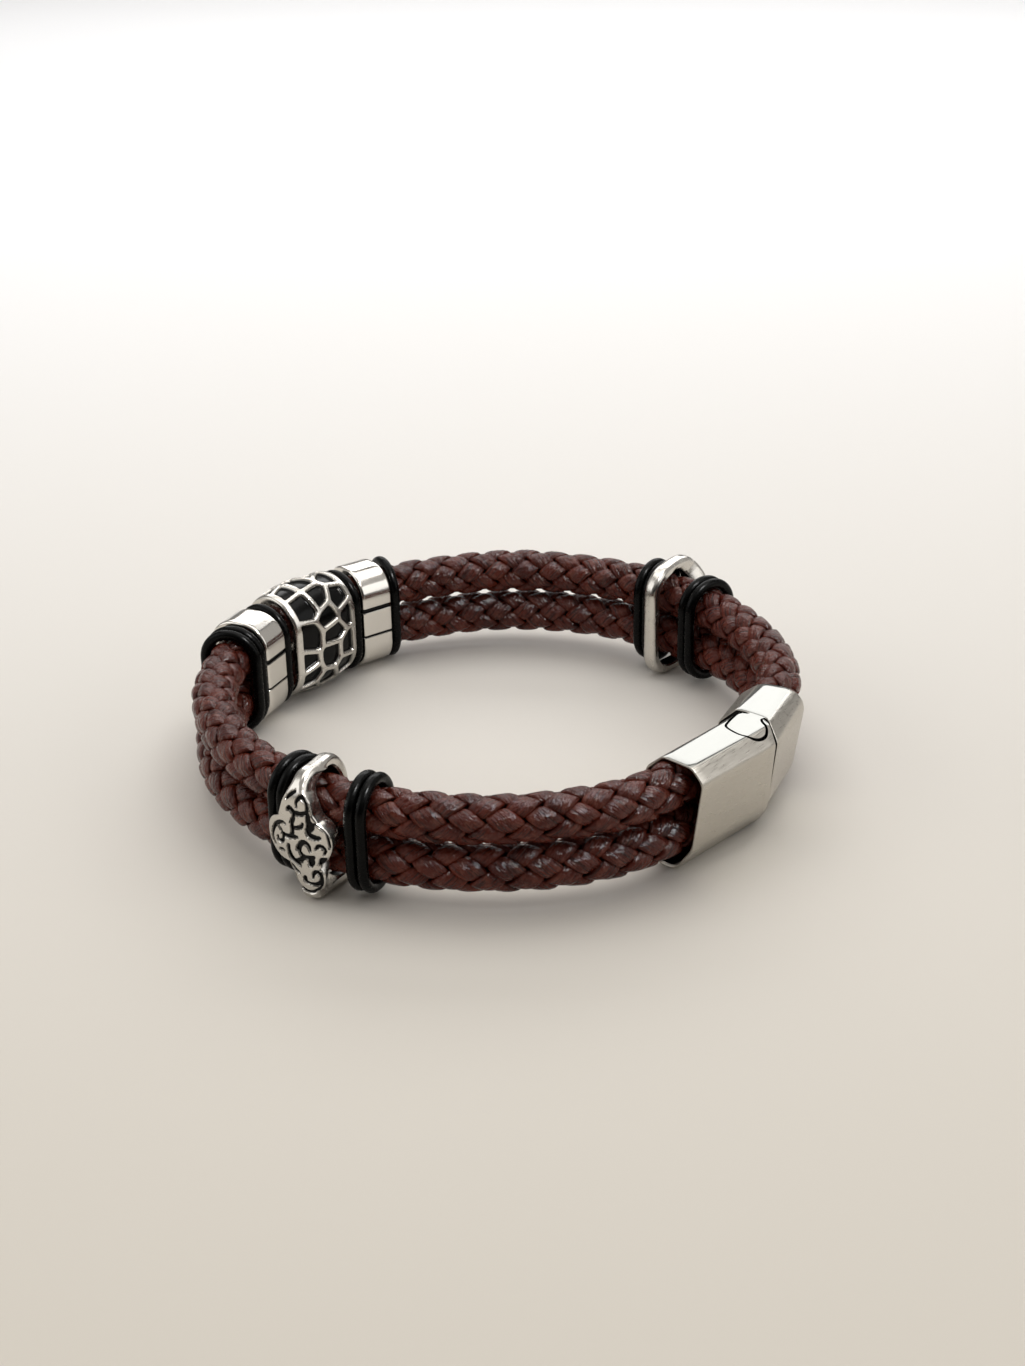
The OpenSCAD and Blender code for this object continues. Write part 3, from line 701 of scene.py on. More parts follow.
def barrel():
    """Sleeve whose outer oval shrinks along a circle of the bulge's radius, less the depth of the web."""
    s = np.linspace(0, BARREL_TURN, BARREL_COLUMNS + 1)[:-1]

    def outer(inset, y):
        r = BARREL_R - (BULGE_R - math.sqrt(BULGE_R ** 2 - y ** 2)) - inset
        sunk = POCKET * pocket_depth(np.full(len(s), float(y)), s)
        return oval_at(s, r - sunk, BARREL_C) + [0, SAG]

    def bore(inset, y):
        return oval_at(s, BORE_R - inset, CORD_HALF)

    grid = sleeve(outer, bore, BARREL_L, BARREL_FILLET, BARREL_STEPS)
    y = grid[:, :, 1]
    dark = pocket_depth(y, np.broadcast_to(s, y.shape))
    dark[-BORE_ROWS:] = 0.0
    n, m = y.shape
    points = on_band(np.full(y.shape, BARREL_AT), grid[..., 0], y, grid[..., 2])
    return mesh_piece("webbed_barrel_bead", points, quads(n, m, wrap_n=True), {"dark": dark}, sharp=50)


finish_piece(barrel(), CAST, "cast_metal", "barrel_bead")

# %% [markdown]
# ## Tube beads
# Two short lengths of oblong tube, polished smooth. Each flat face has two grooves along the band, one broad and
# one fine, filled with black. They could be boolean cuts. As the section is a ring of points anyway, pushing in the
# points that lie in a groove gives the same step, and the same formula tells the material where it is black.

# %% Sizes of the tube beads
TUBE_L = 5.0
# angle from the barrel bead's middle to a tube bead's middle
TUBE_STEP = 17.9
TUBE = [(4.6, -7.6, 4.0), (4.6, 7.6, 4.0), (-4.6, 7.6, 4.0), (-4.6, -7.6, 4.0)]
CORDS_BORE = [(BORE_R, -6.37, BORE_R), (BORE_R, 6.37, BORE_R), (-BORE_R, 6.37, BORE_R), (-BORE_R, -6.37, BORE_R)]
# height of each groove's middle, its width and its depth, and half of the height that is flat
GROOVES = [(2.2, 0.6, 0.35), (-1.9, 0.3, 0.25)]
FLAT_HALF = 3.55
# width of a groove's wall, and the depth from which it is fully black
GROOVE_WALL = 0.12
GROOVE_BLACK = 0.2
# rounding of the outer ends, rows along, and steps of each corner and of each side of the section
TUBE_FILLET, TUBE_ROWS = 0.4, 12
TUBE_ARCS, TUBE_SIDES = [16] * 4, [144, 8, 144, 8]
print("grooves on each flat face:", len(GROOVES))


# %% The tube beads
def groove_depth(ring):
    """Depth of the grooves at each point of a ring: full within a groove's width, and falling evenly to nothing over
    the width of its wall. Off the flat faces it is 0."""
    depth = np.zeros(len(ring))
    for z, w, d in GROOVES:
        wall = (w / 2 + GROOVE_WALL / 2 - np.abs(ring[:, 1] - z)) / GROOVE_WALL
        depth = np.maximum(depth, d * np.clip(wall, 0, 1))
    return np.where(np.abs(ring[:, 1]) < FLAT_HALF, depth, 0.0)


def tube_bead(name, node, a):
    """Sleeve of the rounded oblong, whose points are moved in across by the depth of the grooves."""

    def outer(inset, y):
        ring = rounded_ring(moved_in(TUBE, inset), TUBE_ARCS, TUBE_SIDES)
        ring[:, 0] -= np.sign(ring[:, 0]) * groove_depth(ring)
        return ring

    def bore(inset, y):
        return rounded_ring(moved_in(CORDS_BORE, inset), TUBE_ARCS, TUBE_SIDES)

    grid = sleeve(outer, bore, TUBE_L, TUBE_FILLET, TUBE_ROWS)
    n, m = grid.shape[:2]
    dark = np.broadcast_to(np.clip(groove_depth(outer(0, 0)) / GROOVE_BLACK, 0, 1), (n, m)).copy()
    dark[-BORE_ROWS:] = 0.0
    points = on_band(np.full((n, m), a), grid[..., 0], grid[..., 1], grid[..., 2])
    piece = mesh_piece(name, points, quads(n, m, wrap_n=True), {"dark": dark}, sharp=40)
    finish_piece(piece, STEEL, "polished_steel", node)


tube_bead("grooved_tube_bead_left", "tube_bead_left", BARREL_AT + TUBE_STEP)
tube_bead("grooved_tube_bead_right", "tube_bead_right", BARREL_AT - TUBE_STEP)

# %% [markdown]
# ## Cast scroll beads
# A cast strap goes round both cords and widens to a lobed plate with scrolls. What the eye sees is the black ground
# between the polished scroll heads. Each scroll could be a curve with a bevel, joined to a plate. It was simpler to
# draw the ground itself: every stroke is a curve through a few points with a width that swells in its middle, and
# the plate sinks where a stroke runs. The lobes and the neck come from circles and a short table of edges.

# %% Sizes and outline of a scroll bead
STRAP_W = 2.2
# distance of the plate's face from the cords' line, its thickness, and the radius of its gentle crown
PLATE_OUT = 5.85
WALL = 1.25
CROWN_R = 14.0
RELIEF = 0.4
# radii of the strap's corners and of its lower outer foot, and of its bore for the cords
STRAP_R, FOOT_R, CAST_BORE_R = 3.8, 1.7, BORE_R + 0.1
# the hollow for the rings: half of its width and of its height
RINGS_HALF, RINGS_UP = 4.6, 7.85
# columns of points across the decorated face, and angles of the rounded edge beside it
FACE_COLUMNS = 96
EDGE_BENDS = np.radians([22, 45, 68, 90])
# radius of that edge on the strap and on the broad plate, and how much it shrinks for each mm of width
EDGE_STRAP, EDGE_PLATE, EDGE_SHRINK = 0.75, 0.28, 0.15
# columns of points across the inside, width of its chamfer, how far that goes back, and width of the bore's step
INNER_COLUMNS, CHAMFER, CHAMFER_BACK, BORE_STEP = 8, 0.3, 0.3, 0.02
# where the strap starts to widen to the plate, measured outwards from the cords' line, and over what length
WIDEN_FROM, WIDEN_OVER = -5, 7
# where the black ground starts outwards, how clear it stays of the plate's edge, and over what width it fades in
GROUND_FROM, GROUND_CLEAR, GROUND_FADE = 2.5, 0.12, 0.15
# circles of the plate's outline: across, up, radius
LOBES = [(-1.9, 0.1, 3.0), (1.5, -0.15, 3.2), (0.7, -4.7, 2.2)]
# the strap and the neck between the circles: up, left edge, right edge
NECK = [
    (9.0, -0.1, 2.1), (7.2, -0.15, 2.1), (6.5, -0.45, 2.2), (5.0, -1.25, 2.8), (3.3, -2.15, 3.0), (2.5, -2.2, 3.4),
    (0.0, -2.2, 3.0), (-3.5, -1.95, 2.6), (-5.0, -1.1, 1.7), (-7.0, -1.1, 1.4), (-9.0, -1.1, 1.1),
]


def plate_span(z):
    """Left and right edge of the bead's outline at the heights z: the table's edges, pushed out to the circles'
    edges, which lie at the root of radius squared minus height squared from their middles."""
    up, left, right = np.array(NECK[::-1]).T
    low, high = np.interp(z, up, left), np.interp(z, up, right)
    for y, centre, r in LOBES:
        reach = np.sqrt(np.maximum(r ** 2 - (z - centre) ** 2, 0))
        inside = np.abs(z - centre) < r
        low = np.where(inside, np.minimum(low, y - reach), low)
        high = np.where(inside, np.maximum(high, y + reach), high)
    return low, high


print("width of the plate at its middle:", round(float(np.diff(plate_span(np.array([0.0])), axis=0)[0, 0]), 1), "mm")

# %% The black ground between the scrolls
# strokes of the ground: half of the width, then across and up of each point
STROKES = [
    (0.21, -0.25, 5.5, 0.35, 6.0, 1.1, 6.4),
    (0.25, 1.12, 4.55, 1.25, 5.3, 1.95, 5.8, 2.5, 5.2, 2.5, 4.4, 2.35, 3.8),
    (0.35, 2.35, 3.9, 2.35, 3.1, 2.25, 2.3, 1.95, 1.5),
    (0.32, -0.35, 4.1, 0.1, 4.3, 0.55, 3.75, 1.4, 3.6, 2.3, 3.75),
    (0.29, 0.42, 3.7, 0.3, 3.0, -0.1, 2.4, -0.22, 1.7, -0.3, 1.1, -0.6, 0.7),
    (0.22, -0.2, 1.75, 0.5, 1.75, 1.15, 1.9, 1.5, 2.35),
    (0.22, -1.2, 2.05, -1.8, 2.25, -2.8, 1.85, -3.7, 0.95, -4.15, -0.1, -3.85, -1.1),
    (0.23, -2.45, 1.6, -2.15, 1.0, -2.1, 0.1, -2.55, -0.45, -3.15, -0.3, -3.05, 0.15),
    (0.29, -2.2, 0.75, -1.5, 0.5, -0.7, 0.45, 0.25, 0.5),
    (0.35, 1.8, 1.5, 2.1, 0.9, 2.7, 0.55, 3.35, 0.5),
    (0.49, 2.2, 2.6, 2.5, 2.1, 2.2, 1.5),
    (0.16, 2.6, 2.4, 3.4, 2.2, 4.05, 1.6, 4.35, 0.9),
    (0.25, 4.3, 1.0, 4.45, 0.1, 4.4, -0.75),
    (0.29, -0.2, -1.15, 0.3, -0.6, 1.0, -0.15, 1.6, -0.45, 1.75, -1.2),
    (0.26, 0.45, -0.8, 0.2, -1.4, 0.6, -2.0, 1.4, -2.15, 2.1, -2.05),
    (0.46, 1.7, -2.2, 1.6, -2.6, 1.35, -3.1),
    (0.22, 2.5, -0.95, 2.9, -0.6, 3.45, -0.65, 3.75, -1.15, 3.5, -1.6),
    (0.35, 2.7, -2.95, 3.1, -2.5, 3.6, -2.3),
    (0.35, -1.4, -0.75, -1.6, -1.4, -1.4, -2.2, -0.9, -2.75, -0.2, -3.25),
    (0.28, -0.8, -2.65, 0.0, -2.6, 0.4, -2.25, 1.0, -2.1),
    (0.19, -3.3, -1.65, -2.9, -1.55, -2.4, -1.65),
    (0.23, -2.3, -2.95, -1.6, -3.4, -1.0, -4.0, -0.55, -4.3),
    (0.25, 1.3, -4.8, 1.6, -4.15, 2.2, -4.05, 2.5, -4.8, 2.1, -5.5, 1.2, -5.65, 0.2, -5.45),
    (0.32, 0.25, -4.8, 0.1, -5.1, 0.3, -5.45),
    (0.22, -1.4, -4.3, -1.15, -5.6, -0.4, -6.5, 0.7, -6.8, 1.8, -6.3, 2.55, -5.5),
]


def curve_through(a, b, c, d, t):
    """Catmull-Rom curve from b to c, with a and d as the points before and after: the cubic whose slope at b is half
    of a to c and at c half of b to d."""
    return 0.5 * (2 * b + (c - a) * t + (2 * a - 5 * b + 4 * c - d) * t ** 2 + (3 * b - a - 3 * c + d) * t ** 3)


def smooth_line(points, steps):
    """Smooth open curve through the points, with so many steps between two of them."""
    p = np.vstack([2 * points[0] - points[1], points, 2 * points[-1] - points[-2]])
    t = np.linspace(0, 1, steps, endpoint=False)[:, None]
    return np.vstack([curve_through(a, b, c, d, t) for a, b, c, d in zip(p, p[1:], p[2:], p[3:])] + [points[-1:]])


def hook_ground(y, z):
    """Black ground, from 0 to 1: a smooth step of the distance to the nearest stroke, less its width there. The width
    swells with a sine from both ends of the stroke to its middle."""
    best = np.full(y.shape, 9.0)
    for row in STROKES:
        line = smooth_line(np.array(row[1:]).reshape(-1, 2), 5)
        width = row[0] * (0.6 + 0.5 * np.sin(np.linspace(0.1, math.pi - 0.1, len(line))))
        for k in range(len(line) - 1):
            a, d = line[k], line[k + 1] - line[k]
            f = np.clip(((y - a[0]) * d[0] + (z - a[1]) * d[1]) / (d @ d + 1e-9), 0, 1)
            off = np.hypot(y - a[0] - f * d[0], z - a[1] - f * d[1]) - width[k] * (1 - f) - width[k + 1] * f
            best = np.minimum(best, off)
    return smooth_step(0.5 - best / 0.14)


print("strokes of the black ground:", len(STROKES))


# %% The ribbon of a scroll bead
def strap_ring(inner, outer, up, radius, foot=None):
    """Rounded oblong round the cords, from inner to outer across and as far up as down. Foot is the radius of its
    lower outer corner."""
    corners = [(outer, -up, foot or radius), (outer, up, radius), (inner, up, radius), (inner, -up, radius)]
    return rounded_ring(corners, [40, 40, 10, 10], [92, 10, 14, 10])


def ribbon_edges(outer):
    """Left and right edge of the ribbon at each station of the outer ring: the plate's outline on the outer side and
    the plain strap on the inner side, mixed by a smooth step across the band."""
    low, high = plate_span(outer[:, 1])
    plate = smooth_step((outer[:, 0] - WIDEN_FROM) / WIDEN_OVER)
    low = low * plate - STRAP_W / 2 * (1 - plate)
    high = high * plate + STRAP_W / 2 * (1 - plate)
    return low[:, None], high[:, None]


def ribbon_section(low, high, left, right):
    """Once round the ribbon's section: the decorated face, a rounded edge, the side and the inside, and the other
    edge. An edge is a quarter circle: across by the sine, and down by one minus the cosine. Returns the places
    across, how far each sinks by the rounding, and the first column of the inside."""
    e = np.clip(EDGE_STRAP - EDGE_SHRINK * (high - low - STRAP_W), EDGE_PLATE, EDGE_STRAP)
    face = low + e + (high - low - 2 * e) * np.linspace(0, 1, FACE_COLUMNS)[None, :]
    right_edge = [high - e + e * math.sin(b) for b in EDGE_BENDS]
    left_edge = [low + e - e * math.sin(b) for b in EDGE_BENDS[::-1]]
    drop = [e * (1 - math.cos(b)) for b in EDGE_BENDS]
    first, last = low + CHAMFER, high - CHAMFER
    inner = [high, last, np.clip(right, low, last), np.clip(right - BORE_STEP, low, last)]
    inner += [np.clip(BORE_STEP - left, first, high), np.clip(-left, first, high), first, low]
    y = np.concatenate([face] + right_edge + inner + left_edge, 1)
    sink = np.concatenate([0 * face] + drop + [0 * high] * len(inner) + drop[::-1], 1)
    return y, sink, FACE_COLUMNS + len(EDGE_BENDS)


print("stations round the cords:", len(strap_ring(-4, 4, 8, 3)))


# %% The two scroll beads
def cast_bead(name, node, a, lean, depth, left, right):
    """A ribbon round the cords at the angle a, leaning by some degrees. Each point starts on the outer ring and moves
    inwards by the rounding and by the relief times the ground; the plate's face is held under a circle of the crown's
    radius. The inside lies at the cords from -left to right, and at the rings beyond."""
    tilt = math.radians(lean)
    h = (MID_Z - STRAP_W / 2 * math.sin(tilt)) / math.cos(tilt)
    outer = strap_ring(PLATE_OUT - depth, PLATE_OUT, h, STRAP_R, FOOT_R)
    bore = strap_ring(PLATE_OUT - depth + WALL, CAST_BORE_R, h - WALL, CAST_BORE_R)
    hollow = strap_ring(-RINGS_HALF, RINGS_HALF, RINGS_UP, RINGS_HALF)
    ahead = np.roll(outer, -1, 0) - np.roll(outer, 1, 0)
    inward = np.stack([-ahead[:, 1], ahead[:, 0]], -1) / np.linalg.norm(ahead, axis=1)[:, None]
    low, high = ribbon_edges(outer)
    y, sink, k0 = ribbon_section(low, high, left, right)
    k1 = k0 + INNER_COLUMNS - 1
    inside = np.zeros(y.shape[1], bool)
    inside[k0:k1 + 1] = True

    # relief on the outer side only, and away from the plate's edge; the inside is painted black as shade, and greyer
    # at its edges
    ground = hook_ground(y, np.broadcast_to(outer[:, 1:2], y.shape)) * (outer[:, 0:1] > GROUND_FROM)
    room = np.minimum(y - low, high - y)
    ground = ground * np.clip((room - GROUND_CLEAR) / GROUND_FADE, 0, 1)
    ground[:, inside] = 1
    ground[:, [k0, k1]] = 0
    ground[:, [k0 + 1, k1 - 1]] = 0.4

    sunk = sink + RELIEF * ground * ~inside
    x = outer[:, 0:1] + inward[:, 0:1] * sunk
    z = outer[:, 1:2] + inward[:, 1:2] * sunk
    x = np.minimum(x, PLATE_OUT - CROWN_R + np.sqrt(CROWN_R ** 2 - np.clip(y, -9, 9) ** 2) - sunk)
    wide = (y > right - BORE_STEP / 2) | (y < BORE_STEP / 2 - left)
    x = np.where(inside, np.where(wide, hollow[:, 0:1], bore[:, 0:1]), x)
    z = np.where(inside, np.where(wide, hollow[:, 1:2], bore[:, 1:2]), z)
    # the first and last inner columns go a share of the way back to the edge, as a chamfer
    for k, edge in ((k0, k0 - 1), (k1, (k1 + 1) % x.shape[1])):
        x[:, k] += CHAMFER_BACK * (x[:, edge] - x[:, k])
        z[:, k] += CHAMFER_BACK * (z[:, edge] - z[:, k])

    c, s = math.cos(tilt), math.sin(tilt)
    points = on_band(np.full(x.shape, a), x, y * c - z * s, y * s + z * c)
    n, m = x.shape
    piece = mesh_piece(name, points, quads(n, m, wrap_n=True), {"dark": ground}, sharp=48)
    finish_piece(piece, CAST, "cast_metal", node)


cast_bead("carved_scroll_bead", "scroll_bead", -175.0, 10.0, 10.4, 1.6, 5.0)
cast_bead("carved_loop_bead", "loop_bead", -5.0, 0.0, 11.8, 4.3, 1.3)

# %% [markdown]
# ## Clasp
# Two straight steel sleeves that meet at a joint. The rear half has a tongue with a broad head, which locks into a
# socket of the front half, and the fine gap round it shows as a black S on the polished top. The gap could be a line
# in the material, but it would be flat, with no depth and no shadow in it. Here the tongue is a real solid: its
# outline is cut out of the front half a little too large, and out of a spare piece of the same section a little too
# small, so that the gap is left between them.

# %% Sizes and section of the clasp
CLASP_WALL = 0.45
JOINT_GAP = 0.34
# radius of the mouth's rounded rim, depths of the pockets, and how far behind the mouth their walls start
RIM_R = 0.18
FRONT_POCKET, REAR_POCKET = 8.8, 6.6
POCKET_FROM = 0.3
# the rounded cap at the joint: how far in each ring lies, and how far behind the joint; and where the cap ends
CAP = [(0.12, 0.0), (0.03, 0.05)]
CAP_END = 0.15
# rings along the outside and along the pocket
OUTSIDE_RINGS, POCKET_RINGS = 14, 5
# share of the rear mouth's rounder corners that the front mouth has
FRONT_ROUNDER = 0.35
FRONT_END = CLASP_D * math.tan(math.radians(FRONT_HALF))
REAR_END = CLASP_D * math.tan(math.radians(REAR_HALF))
# corners of the section: outwards from the cords' line, up from the band's middle, radius
CLASP = [
    (-3.8, -5.5, 1.2), (-1.4, -8.3, 1.4), (1.3, -8.3, 2.4), (3.9, -4.7, 4.0),
    (5.3, 5.0, 1.0), (3.5, 6.8, 1.1), (-1.3, 6.8, 0.6), (-3.8, 4.4, 1.6),
]
# radii of the same corners at the rear mouth, where the outside is rounder
REAR_RADII = [1.6, 1.6, 3.0, 6.0, 2.5, 3.5, 3.0, 2.2]
CLASP_ARCS = [6, 6, 8, 8, 6, 5, 5, 6]
CLASP_SIDES = [6, 6, 6, 24, 6, 14, 6, 10]


def clasp_ring(inset, rear=0.0):
    """Section moved in by the inset, with the radii of the rear mouth mixed in from 0 to 1."""
    rows = np.array(CLASP)
    rows[:, 2] += (np.array(REAR_RADII) - rows[:, 2]) * rear
    rows[6, 0] += 0.5 * rear
    return rounded_ring(moved_in(rows, inset), CLASP_ARCS, CLASP_SIDES)


print("the clasp's two straight runs are", round(2 * (FRONT_END + REAR_END), 1), "mm long together")


# %% Where the two halves meet
def joint_place(x):
    """How far the joint lies along the band, beyond the middle of the bend, at the distance x from the cords: a line
    through four given points."""
    return np.interp(x, [-3.8, -1.0, 2.1, 5.2], [0.5, 1.4, 1.6, -0.1])


def front_end(ring):
    """Where the front half ends at each point of a ring."""
    return FRONT_END + joint_place(ring[:, 0]) - JOINT_GAP / 2


def rear_start(ring):
    """Where the rear half starts at each point of a ring, in its own straight. The point (x, y) is turned back by the
    bend into the front half's straight, where it has to lie half of the gap beyond the joint; four rounds of putting
    the last answer in again bring it there."""
    bend = math.radians(FRONT_HALF + REAR_HALF)
    y = np.full(len(ring), -REAR_END)
    for _ in range(4):
        x_front = (CLASP_D + ring[:, 0]) * math.cos(bend) - y * math.sin(bend) - CLASP_D
        reach = FRONT_END + joint_place(x_front) + JOINT_GAP / 2
        y = (reach - (CLASP_D + ring[:, 0]) * math.sin(bend)) / math.cos(bend)
    return y


print("the rear half starts from", rear_start(clasp_ring(0)).round(1).min(), "mm along its own straight")


# %% The shell of a clasp half
def half_shell(name, angle, start, mouth, depth):
    """One half as rings one after the other: a rounded cap at the joint, the outside, the mouth's rim as half a
    circle, and the pocket that the cords go into. Start gives the joint for a ring, and mouth is the other end."""
    sign = 1 if mouth > 0 else -1
    rows = [(clasp_ring(inset), start(clasp_ring(inset)) + sign * back) for inset, back in CAP]
    body = clasp_ring(0)
    # the rear half is rounder towards its mouth, the front half only a little
    rounder = 1.0 if sign > 0 else FRONT_ROUNDER
    first, last = start(body) + sign * CAP_END, mouth - sign * RIM_R
    for t in np.linspace(0, 1, OUTSIDE_RINGS):
        rows.append((clasp_ring(0, rounder * t), first * (1 - t) + last * t))
    for b in np.radians([30, 60, 90, 120, 150]):
        rows.append((clasp_ring(RIM_R * (1 - math.cos(b)), rounder), mouth - sign * RIM_R * (1 - math.sin(b))))
    for t in np.linspace(0, 1, POCKET_RINGS):
        place = np.full(len(body), mouth - sign * (POCKET_FROM + (depth - POCKET_FROM) * t))
        rows.append((clasp_ring(CLASP_WALL, rounder * (1 - t)), place))
    grid = np.array([np.column_stack([r[:, 0], np.broadcast_to(y, len(r)), r[:, 1]]) for r, y in rows])
    n, m = grid.shape[:2]
    points = in_clasp(angle, grid[..., 0], grid[..., 1], grid[..., 2])
    return mesh_piece(name, points, quads(n, m), extra=[np.arange(m), np.arange(m) + (n - 1) * m])


front = half_shell("clasp_front_shell", FRONT, front_end, -FRONT_END, FRONT_POCKET)
print("front shell:", len(front.data.polygons), "faces")

# %% The tongue's outline and the carving
# outline of the tongue on the top: outwards from the cords' line, along from the joint
TONGUE = [
    (-0.7, 2.6), (-0.43, 1.44), (-1.05, 1.0), (-1.31, 0.25), (-1.15, -0.6), (-0.75, -2.2), (-0.15, -3.4),
    (1.7, -3.9), (2.9, -3.85), (3.76, -3.36), (4.2, -2.4), (4.25, -1.3), (3.95, -0.55), (3.4, 0.0),
    (2.5, 0.5), (1.9, 1.1), (2.1, 1.8), (2.5, 2.6),
]
# heights over the band's middle between which the tongue is cut: the facet's, and one above the top
TONGUE_LEVELS = (3.9, 8.0)
# how far the tongue's block reaches past the joint, and how much smaller than the clasp's section it is
TONGUE_REACH, TONGUE_INSET = 2.2, 0.02


def upright(name, x, y, levels):
    """Closed upright block with the outline x outwards and y along from the front half's middle, between two
    levels."""
    m = len(x)
    rings = [in_clasp(FRONT, x, y, np.full(m, z)) for z in levels]
    return mesh_piece(name, np.array(rings), quads(2, m), extra=[np.arange(m), np.arange(m) + m])


def tongue_prism(grow):
    """Block with the tongue's outline, a closed smooth curve moved out by the given distance, from the facet's height
    to above the top."""
    p = np.array(TONGUE)
    t = np.array([0, 0.25, 0.5, 0.75])[None, :, None]
    around = [np.roll(p, shift, 0)[:, None, :] for shift in (1, 0, -1, -2)]
    line = curve_through(*around, t).reshape(-1, 2)
    ahead = np.roll(line, -1, 0) - np.roll(line, 1, 0)
    line = line + np.stack([ahead[:, 1], -ahead[:, 0]], -1) / np.linalg.norm(ahead, axis=1)[:, None] * grow
    return upright("tongue_block", line[:, 0], FRONT_END + line[:, 1], TONGUE_LEVELS)


def straight_block():
    """The front half's section, a hair smaller, carried past the joint, to cut the tongue from."""
    ring = clasp_ring(TONGUE_INSET)
    m = len(ring)
    levels = [in_clasp(FRONT, ring[:, 0], np.full(m, y), ring[:, 1]) for y in (0.0, FRONT_END + TONGUE_REACH)]
    return mesh_piece("tongue", np.array(levels), quads(2, m), extra=[np.arange(m), np.arange(m) + m])


def carve(piece, tool, operation):
    """Cuts a piece with a tool, or keeps what both share, and throws the tool away."""
    step = piece.modifiers.new("carve", "BOOLEAN")
    step.operation = operation
    step.object = tool
    step.solver = "EXACT"
    bpy.context.view_layer.update()
    shaped = bpy.data.meshes.new_from_object(piece.evaluated_get(bpy.context.evaluated_depsgraph_get()))
    piece.modifiers.clear()
    piece.data = shaped
    bpy.data.objects.remove(tool)


carve(front, tongue_prism(JOINT_GAP / 2), "DIFFERENCE")
rear = half_shell("clasp_rear_shell", REAR, rear_start, REAR_END, REAR_POCKET)
tongue = straight_block()
carve(tongue, tongue_prism(-JOINT_GAP / 2), "INTERSECT")
print("tongue:", len(tongue.data.polygons), "faces")


# %% Painted shade inside the gap and the pocket, and the finished halves
# how far from the joint the gap reaches, and how deep the skin that stays bright is near it and elsewhere
GAP_REACH, GAP_SKIN, SKIN = 4.5, 0.2, 0.9


def paint_gap_shade(piece, angle, joint, side):
    """1 for each face inside the joint or the pocket, which is painted black as shade, and 0 for each face on the
    outside and on the mouth's rim. A face counts as inside when its middle lies further in from every side of the
    section than the skin is deep."""
    n = len(piece.data.polygons)
    middle = np.empty(n * 3)
    piece.data.polygons.foreach_get("center", middle)
    place = middle.reshape(-1, 3) / MM
    c, s = math.cos(math.radians(angle)), math.sin(math.radians(angle))
    flat = np.stack([place[:, 0] * c + place[:, 1] * s - CLASP_D, place[:, 2] - MID_Z], -1)
    along = -place[:, 0] * s + place[:, 1] * c
    depth = np.full(n, 99.0)
    for (x0, z0, _), (x1, z1, _) in zip(CLASP, CLASP[1:] + CLASP[:1]):
        edge = np.array([x1 - x0, z1 - z0])
        out = np.array([edge[1], -edge[0]]) / np.hypot(*edge)
        depth = np.minimum(depth, -(flat - [x0, z0]) @ out)
    near = (along - joint) * side < GAP_REACH
    return (depth > np.where(near, GAP_SKIN, SKIN)).astype(float)


# the joint lies about 1 mm beyond the front half's straight end
front_gap_paint = paint_gap_shade(front, FRONT, FRONT_END + 1.0, -1)
rear_gap_paint = np.append(paint_gap_shade(rear, REAR, -REAR_END, 1), paint_gap_shade(tongue, FRONT, FRONT_END, -1))
joined = bmesh.new()
joined.from_mesh(rear.data)
joined.from_mesh(tongue.data)
joined.to_mesh(rear.data)
joined.free()
bpy.data.objects.remove(tongue)
# the faces in the gap and the pocket are painted black as shade
for half, shade_paint in ((front, front_gap_paint), (rear, rear_gap_paint)):
    half.data.attributes.new("dark", "FLOAT", "FACE").data.foreach_set("value", shade_paint)
    shade_smooth(half.data)
    half.data.set_sharp_from_angle(angle=math.radians(25))
finish_piece(front, CLASP_STEEL, "brushed_steel", "clasp_front")
finish_piece(rear, CLASP_STEEL, "brushed_steel", "clasp_rear")

# %% [markdown]
# ## Rubber rings
# Thirteen plain rubber rings hug both cords. They could be modelled again as tubes round an oval, but the CAD model
# already has that shape in fine facets. So they keep their CAD solids, and only get the rubber and smooth shading.

# %% The rings' material
rings = [name for name in nodes if "_ring_" in name]
for name in rings:
    for slot in nodes[name].material_slots:
        slot.material = RUBBER
    shade_smooth(nodes[name].data)
print("rubber rings:", len(rings))

# %% [markdown]
# ## Floor
# The bracelet lies on a pale, warm sheet of paper in soft light. A plain plane would end in a hard line behind it.
# A sweep was chosen, as in a photo studio: flat paper that rises in a wide curve far behind.

# %% The paper sweep
# the photo looks along this direction: the floor, the lights and the camera are turned with it
PHOTO_TURN = math.radians(-51.5)
FLOOR_HALF, CURVE_START, CURVE_R = 2600, 1400, 800


